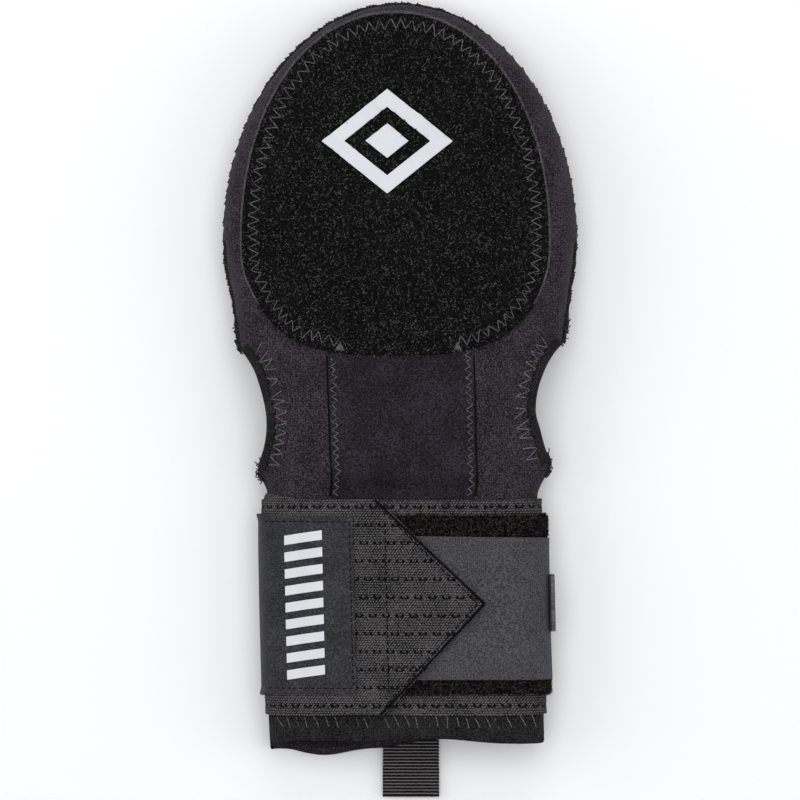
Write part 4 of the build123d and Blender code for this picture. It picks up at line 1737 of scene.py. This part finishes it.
@dataclass
class ElasticBand:
    """The woven elastic: its sewn turn and its pointed tail."""

    winding: Winding
    wardrobe: Wardrobe
    fold: Crossing
    top: float = edge_of("strap_base", 1, True)
    low: float = edge_of("strap_base", 1, False)
    start_x: float = -30.0
    shoulder_x: float = -6.5
    tip_x: float = edge_of("strap_tail", 0, True)
    tip_y: float = -71.9
    row_pitch = 6.4
    dash_pitch = 4.95
    first_row: float = 2.2
    dent_depth: float = 0.16

    def dent(self, down: float) -> float:
        """How deep the weave dips, some way down from the band's top edge: 1 on a row of dashes."""
        row = (down - self.first_row) / self.row_pitch
        return math.exp(-(((row - round(row)) * self.row_pitch / 0.75) ** 2))

    def weave(
        self, name: str, route: Route, edges: Callable[[float], Point], columns: int, rows: int = 132
    ) -> Piece:
        """Lay elastic along a route.

        Args:
            name: the new piece's name.
            route: the line that its outer face follows.
            edges: gives the top and bottom Y some way along.
            columns: faces along the route.
            rows: faces across the band.

        Returns:
            The band, with its rows dented and its UV map counted from its first row.
        """

        def place(u: float, v: float) -> Spot:
            """The band's point along its route and across it, dented on its rows."""
            along = u * route.length
            top, low = edges(along)
            y = mix(low, top, v)
            dip = -self.dent_depth * self.dent(self.top - y)
            x, z = route.at(along, dip)
            return x, y, z

        piece = sheet_of(name, columns, rows, place, (route.length, self.top - self.low))
        layer = piece.data.uv_layers.active.data
        for loop in piece.data.loops:
            i = loop.vertex_index
            along = (i % (columns + 1)) / columns * route.length
            layer[loop.index].uv = (
                along * MM, (self.top - self.first_row) * MM - piece.data.vertices[i].co.y
            )
        clean(piece, 0.005)
        thicken(piece, self.winding.elastic - 0.2 if rows > 20 else 0.6)
        smooth(piece, 50)
        self.wardrobe.dress(piece, "woven_elastic")
        return piece

    def turn(self) -> None:
        """The sewn turn, round the front, the right side and the rear."""
        wind = self.winding
        seam, radius = wind.shell.seam_z, wind.base
        points = [(self.start_x, seam + radius)]
        points += wind.arc(wind.round_x, radius, 90, -90)
        points += [(-wind.round_x, seam - radius)]
        route = Route(points)

        def edges(along: float) -> Point:
            """The band's two edges, the lower one slightly wavy."""
            return self.top, self.low + 0.25 * math.sin(along / 11)

        piece = self.weave("elastic_turn", route, edges, 230)
        Body.CUFF.hold(piece)
        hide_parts("strap_base")

    def underlap(self) -> None:
        """The edge of the sewn turn that shows above the tail on the left."""
        wind = self.winding
        route = Route(
            wind.arc(-wind.round_x, wind.base - 0.7, 175, 90) + [(-24.0, wind.shell.seam_z + wind.base - 0.7)]
        )

        def edges(along: float) -> Point:
            """A thin sliver above the tail's edge, gone at the far end."""
            return self.top + 2.3 * (1 - ease(along / route.length)) - 0.1, self.top - 1.0

        piece = self.weave("elastic_underlap", route, edges, 60, rows=8)
        Body.CUFF.hold(piece)

    def tail_route(self) -> Route:
        """The line of the tail's outer face: up round the left side and along the front, over the layers.

        Returns:
            The route, from under the mitt to the tail's point.
        """
        wind = self.winding
        seam, base = wind.shell.seam_z, wind.base
        on_band = base + wind.free_gap + wind.elastic
        on_tape = wind.hook_out + wind.gap + wind.elastic
        loop_start = edge_of("loop_tape", 0, False)
        points = wind.arc(-wind.round_x, base, 270, 90)
        climb = 12
        for x, low, high in ((self.start_x - 3.3, base, on_band), (loop_start - 6.6, on_band, on_tape)):
            for i in range(climb + 1):
                share = i / climb
                points.append(
                    (x - 3.0 + 6.0 * share * (1 if low == base else 2), seam + mix(low, high, ease(share)))
                )
        points.append((self.tip_x, seam + on_tape))
        return Route(points)

    def tail(self) -> Route:
        """The free tail with its point, from its turn round the left side.

        Returns:
            The route of its outer face.
        """
        route = self.tail_route()
        shoulder = route.distance_at(self.shoulder_x)

        def edges(along: float) -> Point:
            """The tail's two edges, which meet at its point."""
            share = min(max((along - shoulder) / (route.length - shoulder), 0.0), 1.0)
            wave = 0.25 * math.sin(along / 9 + 1)
            return mix(self.top + wave, self.tip_y + 0.15, share), mix(
                self.low + wave, self.tip_y - 0.15, share
            )

        piece = self.weave("elastic_tail", route, edges, 150)
        self.fold.hold(piece)
        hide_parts("strap_tail", "strap_fold")
        self.stitch(piece)
        return route

    def stitch(self, piece: Piece) -> None:
        """Sew the tail's point, and the box that holds the hook tape below it.

        Args:
            piece: the tail.
        """
        skin = Skin(piece, Face.FRONT)
        middle = self.tip_y
        runs = []
        for inset, kind in (
            (0.7, Stitch(diameter=0.5, pitch=1.5, lift=0.1)), (2.0, Stitch(diameter=0.4, pitch=2.6))
        ):
            tip = self.tip_x - inset * 1.35
            start = self.shoulder_x - inset * 0.3
            upper = [(start, self.top - inset), (tip, middle)]
            lower = [(tip, middle), (start, self.low + inset)]
            runs += kind.running(skin, upper) + kind.running(skin, lower)
        corners = [
            (self.shoulder_x - 1.5, self.top), (self.tip_x - 0.3, middle), (self.shoulder_x - 1.5, self.low)
        ]
        rims = []
        for start, end in zip(corners, corners[1:]):
            rims.append(
                [
                    skin.at(
                        mix(start[0], end[0], t), mix(start[1], end[1], t), 0.0
                    ) for t in np.linspace(0, 1, 60)
                ]
            )
        self.wardrobe.sew("tail_edge_cord", rims, 0.85, "black_thread", Body.STRAP)
        box = Stitch(diameter=0.4, pitch=2.8)
        left = -4.6
        for line in (
            [(left, -43.0), (left, -104.0)],
            [(left, -49.9), (5.5, -49.9)],
            [(left, -94.2), (8.5, -94.2)],
        ):
            runs += box.running(skin, line)
        self.wardrobe.sew("tail_stitching", runs, 0.42, "black_thread", Body.STRAP)


@dataclass
class Tapes:
    """The loop tape, the hook tape and the ribbon on its end."""

    winding: Winding
    wardrobe: Wardrobe
    peel: Crossing

    def loop(self) -> None:
        """Lay the loop tape and grow its pile."""
        wind = self.winding
        top, low = edge_of("loop_tape", 1, True), edge_of("loop_tape", 1, False)
        start = edge_of("loop_tape", 0, False)
        radius = wind.loop_out - 0.5
        route = Route([(start, wind.shell.seam_z + radius), *wind.arc(wind.round_x, radius, 90, -20)])

        def place(u: float, v: float) -> Spot:
            """The strip's point along its route and across it, with uneven edges."""
            along = u * route.length
            wave = 0.3 * noise.noise(Vector((along / 4, v * 3, 1.0)))
            x, z = route.at(along)
            return x, mix(low + wave, top + wave, v), z

        base = sheet_of("loop_strip", 90, 60, place, (route.length, top - low))
        thicken(base, 1.0)
        smooth(base)
        self.wardrobe.dress(base, "loop_pile")
        Body.CUFF.hold(base)
        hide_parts("loop_tape")
        hook_top, hook_low = edge_of("hook_tape_end", 1, True), edge_of("hook_tape_end", 1, False)

        def keep(x: float, y: float, z: float) -> float:
            """How long the loops stand at a point: pressed down under the hook tape, none inside."""
            outer = math.hypot(max(x - wind.round_x, 0), z - wind.shell.seam_z) > radius - 0.5
            if not outer or z < wind.shell.seam_z - 5:
                return 0.0
            return 0.6 if hook_low < y < hook_top and x < 52 else 1.25

        pile = Pile(count=36000, length=0.95, width=0.28, lean=1.1, seed=17)
        fibres = pile.grow("loop_strip_fibres", base, keep)
        self.wardrobe.dress(fibres, "loop_pile")
        Body.CUFF.hold(fibres)

    @staticmethod
    def press(x: float) -> float:
        """How far the hook tape is pressed in on its right side."""
        return 0.7 * ease((x - 40) / 9)

    def hook(self) -> None:
        """Lay the hook tape, back side out, from under the tail to the right side."""
        wind = self.winding
        top, low = edge_of("hook_tape_end", 1, True), edge_of("hook_tape_end", 1, False)
        start = edge_of("hook_tape_root", 0, False)
        radius = wind.hook_out
        route = Route([(start, wind.shell.seam_z + radius), *wind.arc(wind.round_x, radius, 90, 8)])

        def place(u: float, v: float) -> Spot:
            """The tape's point, dished between its edges and tilted at its free end."""
            along = u * route.length
            dish = -0.25 * math.sin(math.pi * v) + 0.2 * noise.noise(Vector((along / 18, v * 2.2, 7.0)))
            x, z = route.at(along, min(dish, 0.1))
            tilt = 0.9 * along / route.length
            return x - self.press(x), mix(low, top - tilt, v), z

        piece = sheet_of("hook_tape", 110, 60, place, (route.length, top - low))
        thicken(piece, wind.hook - 0.4)
        modify(
            piece, "BEVEL", width=0.15 * MM, segments=2, limit_method="ANGLE", angle_limit=math.radians(50)
        )
        smooth(piece, 40)
        self.wardrobe.dress(piece, "nylon_tape")
        self.peel.hold(piece)
        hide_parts("hook_tape_root", "hook_tape_flex", "hook_tape_end")

    def end_ribbon(self) -> None:
        """Sew the folded ribbon on the hook tape's end."""
        low, high = (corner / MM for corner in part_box("strap_ribbon"))
        x = high.x

        def place(u: float, v: float) -> Spot:
            """The ribbon's point, raised on its ribs."""
            rib = 0.12 * math.cos(2 * math.pi * v * (high.z - low.z) / 1.14)
            return x - self.press(x) + rib - 0.1, mix(low.y, high.y, u), mix(low.z, high.z, v)

        piece = sheet_of("strap_end_ribbon", 24, 90, place, (high.y - low.y, high.z - low.z))
        thicken(piece, high.x - low.x + 0.5, rim_slot=1)
        smooth(piece, 60)
        self.wardrobe.dress(piece, "grosgrain", "black_thread")
        Body.HOOK_TAB.hold(piece)
        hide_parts("strap_ribbon")


@dataclass
class Label:
    """The soft label on the tail, wrapped round the fold, and its printed bars."""

    winding: Winding
    wardrobe: Wardrobe
    fold: Crossing
    tail_line: Route
    top: float = edge_of("label", 1, True)
    low: float = edge_of("label", 1, False)
    right_x: float = edge_of("label", 0, True)
    bars: int = 9

    def route(self) -> Route:
        """The line of the label's outer face, a label's thickness over the elastic.

        Returns:
            The route, from behind the left side to the label's right edge.
        """
        radius = self.winding.base + self.winding.gap + self.winding.label
        points = self.winding.arc(-self.winding.round_x, radius, 196, 92)
        first = self.tail_line.distance_at(-self.winding.round_x + 1.0)
        last = self.tail_line.distance_at(self.right_x)
        lift = self.winding.gap + self.winding.label
        points += [self.tail_line.at(distance, lift) for distance in np.linspace(first, last, 24)]
        return Route(points)

    def build(self) -> None:
        """Model the label, its border stitches and its bars."""
        route = self.route()

        def place(u: float, v: float) -> Spot:
            """The label's point, with a pressed border and two lifted corners."""
            along = u * route.length
            corner = math.exp(-((along - 8) ** 2) / 30) * (
                math.exp(-((v / 0.03) ** 2)) + math.exp(-(((1 - v) / 0.03) ** 2))
            )
            crown = -0.12 * math.exp(-((min(v, 1 - v) - 0.035) ** 2) / 0.0002)
            drift = 0.12 * noise.noise(Vector((along / 8, v * 5, 2.0)))
            x, z = route.at(along, crown + drift + 0.9 * corner)
            return x, mix(self.low, self.top, v) + (0.6 * corner if v > 0.5 else -0.6 * corner), z

        piece = sheet_of("label_patch", 80, 90, place, (route.length, self.top - self.low))
        thicken(piece, self.winding.label - 0.15)
        modify(
            piece, "BEVEL", width=0.25 * MM, segments=3, limit_method="ANGLE", angle_limit=math.radians(50)
        )
        smooth(piece, 35)
        self.wardrobe.dress(piece, "soft_pvc")
        self.fold.hold(piece)
        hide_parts("label", "label_fold")
        skin = Skin(piece, Face.FRONT)
        stitch = Stitch(diameter=0.36, pitch=2.3, lift=0.03)
        inset = 2.1
        right = self.right_x - 1.2
        border = [
            (-48.6, self.top - inset),
            (right, self.top - inset),
            (right, self.low + inset),
            (-48.6, self.low + inset),
        ]
        runs = []
        for start, end in zip(border, border[1:]):
            runs += stitch.running(skin, [start, end])
        self.wardrobe.sew("label_stitching", runs, stitch.diameter, "black_thread", self.fold)
        self._bars(route)

    def _bars(self, route: Route) -> None:
        """Print the slanted bars.

        Args:
            route: the line of the label's outer face.
        """
        start = route.distance_at(-37.0) - 4.2
        end = route.distance_at(-27.0)
        length = 53.5
        pitch = length / self.bars
        top = (self.top + self.low) / 2 + length / 2
        for i in range(self.bars):
            middle = top - pitch * (i + 0.5)

            def place(u: float, v: float, middle: float = middle) -> Spot:
                """The bar's point on the label's face."""
                x, z = route.at(mix(start, end, u), 0.22)
                return x, middle + pitch * (0.34 * (u - 0.5) + 0.56 * (v - 0.5)), z

            bar = sheet_of(f"label_bar_{i + 1}", 18, 4, place, (end - start, pitch))
            thicken(bar, 0.25)
            smooth(bar, 40)
            self.wardrobe.dress(bar, "transfer_film")
            self.fold.hold(bar)
        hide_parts("label_mark")


@dataclass
class Mouth:
    """The cuff's mouth: rolled hems, their zigzag and the ribbon pull loop."""

    shell: Shell
    wardrobe: Wardrobe
    lift: Crossing
    loop_x: float = (edge_of("pull_tab", 0, True) + edge_of("pull_tab", 0, False)) / 2
    ribbon_width: float = edge_of("pull_tab", 0, True) - edge_of("pull_tab", 0, False)
    loop_end_y: float = edge_of("pull_tab", 1, False)
    loop_root_y: float = edge_of("pull_tab_root", 1, True)

    def rim(self, face: Face, share: float) -> tuple[float, float]:
        """A point of the mouth's outer edge, a share of the way round one face.

        Args:
            face: front or rear.
            share: 0 at one side and 1 at the other.

        Returns:
            The point's X and Z.
        """
        points = self.shell.section(self.shell.front_mouth_y, face)
        x, z = points[round(share * (len(points) - 1))]
        return float(x), self.shell.seam_z + face.value * float(z)

    def hem(self, face: Face) -> None:
        """Roll the hem of one face and sew it with a zigzag.

        Args:
            face: front or rear.
        """
        shell = self.shell
        depth = 5.2
        mouth_y = shell.front_mouth_y if face is Face.FRONT else shell.rear_mouth_y
        root = mouth_y + (10.2 if face is Face.FRONT else 6.5)

        def place(u: float, v: float) -> Spot:
            """The hem's point: round the mouth by u, and over its lip by v."""
            x, z = self.rim(face, u)
            lump = 0.45 * noise.noise(Vector((x / 5, face.value * 3.0, 0.5))) + 0.2 * noise.noise(
                Vector((x / 1.7, 1.0, 0))
            )
            edge = shell.mouth(x, face)
            turn = math.pi * v
            inward = Vector((-x * 0.15, 0, shell.seam_z - z)).normalized()
            across = (shell.thickness + 1.1 + lump) * ease((v - 0.42) / 0.33) - 0.6 - lump * 0.3
            deep = root - edge if v < 0.5 else depth
            y = edge - 1.2 * math.sin(turn) + deep * abs(math.cos(turn)) ** 1.5
            return x + inward.x * across, y, z + inward.z * across

        piece = sheet_of(f"{face.word}_hem", 180, 40, place, (110.0, 14.0))
        clean(piece, 0.01)
        face_to(piece, lambda point: Vector((0, -1, 0)))
        thicken(piece, 0.5)
        smooth(piece, 60)
        self.wardrobe.dress(piece, "stretch_binding")
        Body.CUFF.hold(piece)
        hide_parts(f"mouth_binding_{face.word}")
        skin = Skin(piece, face)
        stitch = Stitch(pitch=3.6, reach=4.2, diameter=0.32, lift=0.16, wander=0.5, sink=0.35, seed=9)
        line = []
        for x in np.linspace(-45.5, 45.5, 60):
            line.append((x, root - 1.0 + 0.2 * math.sin(x / 6)))
        runs = stitch.zigzag(skin, line, inward=-1.0)
        # Every other stitch gets a painted highlight, so the lit strokes slant one way only.
        lit = [i % 2 == 0 for i in range(len(runs))]
        self.wardrobe.sew_mixed(f"{face.word}_hem_stitching", runs, stitch.diameter, lit, Body.CUFF)

    def pull_loop(self) -> None:
        """Fold the ribbon into a loop, with its ribs modelled."""
        radius = 0.5
        points = [(self.loop_root_y, 2 * radius)]
        end_y = self.loop_end_y + radius - 0.5
        for turn in np.radians(np.linspace(90, 270, 12)):
            points.append((end_y + radius * math.cos(turn), radius + radius * math.sin(turn)))
        points.append((self.loop_end_y + 10.0, 0.0))
        route = Route(points)
        ribs = 1.14
        columns, rows = 26, 420

        def place(u: float, v: float) -> Spot:
            """The ribbon's point along its loop, raised on its ribs."""
            along = (1 - v) * route.length
            rib = 0.16 * math.cos(2 * math.pi * along / ribs)
            loops = 0.12 * math.cos(2 * math.pi * along / ribs) * (abs(u - 0.5) > 0.46)
            y, z = route.at(along, -0.28 - rib)
            x = self.loop_x + (u - 0.5) * (self.ribbon_width + 2 * loops)
            return x, y, max(z + 0.55, 0.12)

        piece = sheet_of("pull_ribbon", columns, rows, place, (self.ribbon_width, route.length))
        thicken(piece, 0.35)
        smooth(piece, 60)
        self.wardrobe.dress(piece, "grosgrain")
        self.lift.hold(piece)
        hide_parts("pull_tab_root", "pull_tab_flex", "pull_tab")


# ------------------------------------------------------------ inside and stage


class Inside:
    """The stiff and soft layers inside the hand, which keep their CAD shapes."""

    finishes = {"foam": "cell_foam", "plate": "moulded_plate", "pocket": "pocket_cloth"}

    @classmethod
    def dress(cls, wardrobe: Wardrobe) -> None:
        """Give each inner layer its material.

        Args:
            wardrobe: holds the materials.
        """
        for face in Face:
            for layer, finish in cls.finishes.items():
                wardrobe.dress(frame["nodes"][f"{face.word}_{layer}"], finish)


@dataclass
class Studio:
    """A pale floor, soft lights and a camera straight above."""

    view_m: float = 0.2832
    distance_m: float = 2.4
    floor_m: float = 4.0

    def floor(self) -> None:
        """Lay the pale floor just under the mitt."""
        deselect()
        bpy.ops.mesh.primitive_grid_add(
            x_subdivisions=8, y_subdivisions=8, size=self.floor_m, location=(0, 0, -0.0008)
        )
        piece = bpy.context.object
        piece.name = "studio_floor"
        piece.data.transform(piece.matrix_world)
        piece.matrix_world.identity()
        material = bpy.data.materials.new("pale_paper")
        material.use_nodes = True
        shader = material.node_tree.nodes["Principled BSDF"]
        shader.inputs["Base Color"].default_value = linear("f6f6f6")
        shader.inputs["Roughness"].default_value = 0.9
        piece.data.materials.append(material)
        piece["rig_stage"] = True

    def lights(self) -> None:
        """Hang large soft lights over and beside the mitt."""
        for name, place, size, watts in (
            ("overhead", (0.0, 0.1, 1.6), 1.5, 15.4),
            ("left", (-1.3, 0.2, 0.9), 1.0, 6.8),
            ("right", (1.3, -0.1, 0.9), 1.0, 4.9),
            ("head", (0.1, 1.4, 1.0), 1.0, 4.1),
        ):
            data = bpy.data.lights.new(name, "AREA")
            data.shape = "SQUARE"
            data.size = size
            data.energy = watts
            light = bpy.data.objects.new(name, data)
            light.location = place
            light.rotation_euler = (-Vector(place)).to_track_quat("-Z", "Y").to_euler()
            bpy.context.scene.collection.objects.link(light)
        world = bpy.data.worlds.new("studio")
        world.use_nodes = True
        world.node_tree.nodes["Background"].inputs["Color"].default_value = linear("f2f4f8")
        world.node_tree.nodes["Background"].inputs["Strength"].default_value = 0.35
        bpy.context.scene.world = world
        bpy.context.scene.view_settings.view_transform = "Standard"

    def camera(self) -> None:
        """Look straight down with a long lens."""
        data = bpy.data.cameras.new("camera")
        data.sensor_width = 36.0
        data.lens = 36.0 * self.distance_m / self.view_m
        data.clip_end = 20.0
        camera = bpy.data.objects.new("camera", data)
        camera.location = (0.0, 0.0, self.distance_m + 0.02)
        bpy.context.scene.collection.objects.link(camera)
        bpy.context.scene.camera = camera


def crossings(shell: Shell) -> dict[str, Crossing]:
    """The soft stretches at the four joints.

    Args:
        shell: the hand's shell, for the wrist's place.

    Returns:
        The crossings by name.
    """
    flex_low, flex_high = (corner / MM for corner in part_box("hook_tape_flex"))
    root_low, root_high = (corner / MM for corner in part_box("pull_tab_flex"))
    side = edge_of("strap_fold", 0, False)
    fold_low, fold_high = edge_of("strap_fold", 2, False) + 2.0, edge_of("strap_fold", 2, True) - 2.0
    middle_y = (edge_of("strap_base", 1, True) + edge_of("strap_base", 1, False)) / 2
    return {
        "wrist": Crossing(
            Body.CUFF, Body.HAND, (0, shell.cuff_y, shell.seam_z), (0, shell.wrist_y, shell.seam_z)
        ),
        "fold": Crossing(Body.CUFF, Body.STRAP, (side, middle_y, fold_low), (side, middle_y, fold_high)),
        "peel": Crossing(
            Body.STRAP, Body.HOOK_TAB, (flex_low.x, middle_y, flex_low.z), (flex_high.x, middle_y, flex_low.z)
        ),
        "lift": Crossing(
            Body.CUFF, Body.PULL_LOOP, (0, root_high.y, root_low.z), (0, root_low.y, root_low.z)
        ),
    }


def main() -> None:
    """Build the mitt's looks, piece by piece, then the studio."""
    logging.basicConfig(level=logging.INFO, format="%(name)s: %(message)s")
    studio = Studio()
    studio.camera()
    wardrobe = Wardrobe()
    shell = Shell()
    joints = crossings(shell)
    hand = HandPieces(shell, wardrobe, joints["wrist"])
    halves = hand.shells()
    for face in Face:
        pad = hand.cap(face)
        hand.cap_stitching(face, pad)
        if face is Face.FRONT:
            hand.emblem(pad)
        hand.fibres(face, pad)
    hand.channel(halves[Face.FRONT])
    hand.side_seam()
    hand.thumb_edges(halves)
    hand.frays()
    LOG.info("hand done")
    winding = Winding(shell)
    band = ElasticBand(winding, wardrobe, joints["fold"])
    band.turn()
    band.underlap()
    tail_line = band.tail()
    tapes = Tapes(winding, wardrobe, joints["peel"])
    tapes.loop()
    tapes.hook()
    tapes.end_ribbon()
    Label(winding, wardrobe, joints["fold"], tail_line).build()
    mouth = Mouth(shell, wardrobe, joints["lift"])
    for face in Face:
        mouth.hem(face)
    mouth.pull_loop()
    lie = Lie()
    for piece in bpy.context.scene.objects:
        if piece.type == "MESH" and piece.name not in frame["nodes"]:
            lie.settle(piece)
    Inside.dress(wardrobe)
    studio.floor()
    studio.lights()
    LOG.info("cuff done")


if __name__ == "__main__":
    main()
    boxes = {"cad": CAD_BOX, "visual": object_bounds()}
    {name: [list(corner) for corner in box] for name, box in boxes.items()}
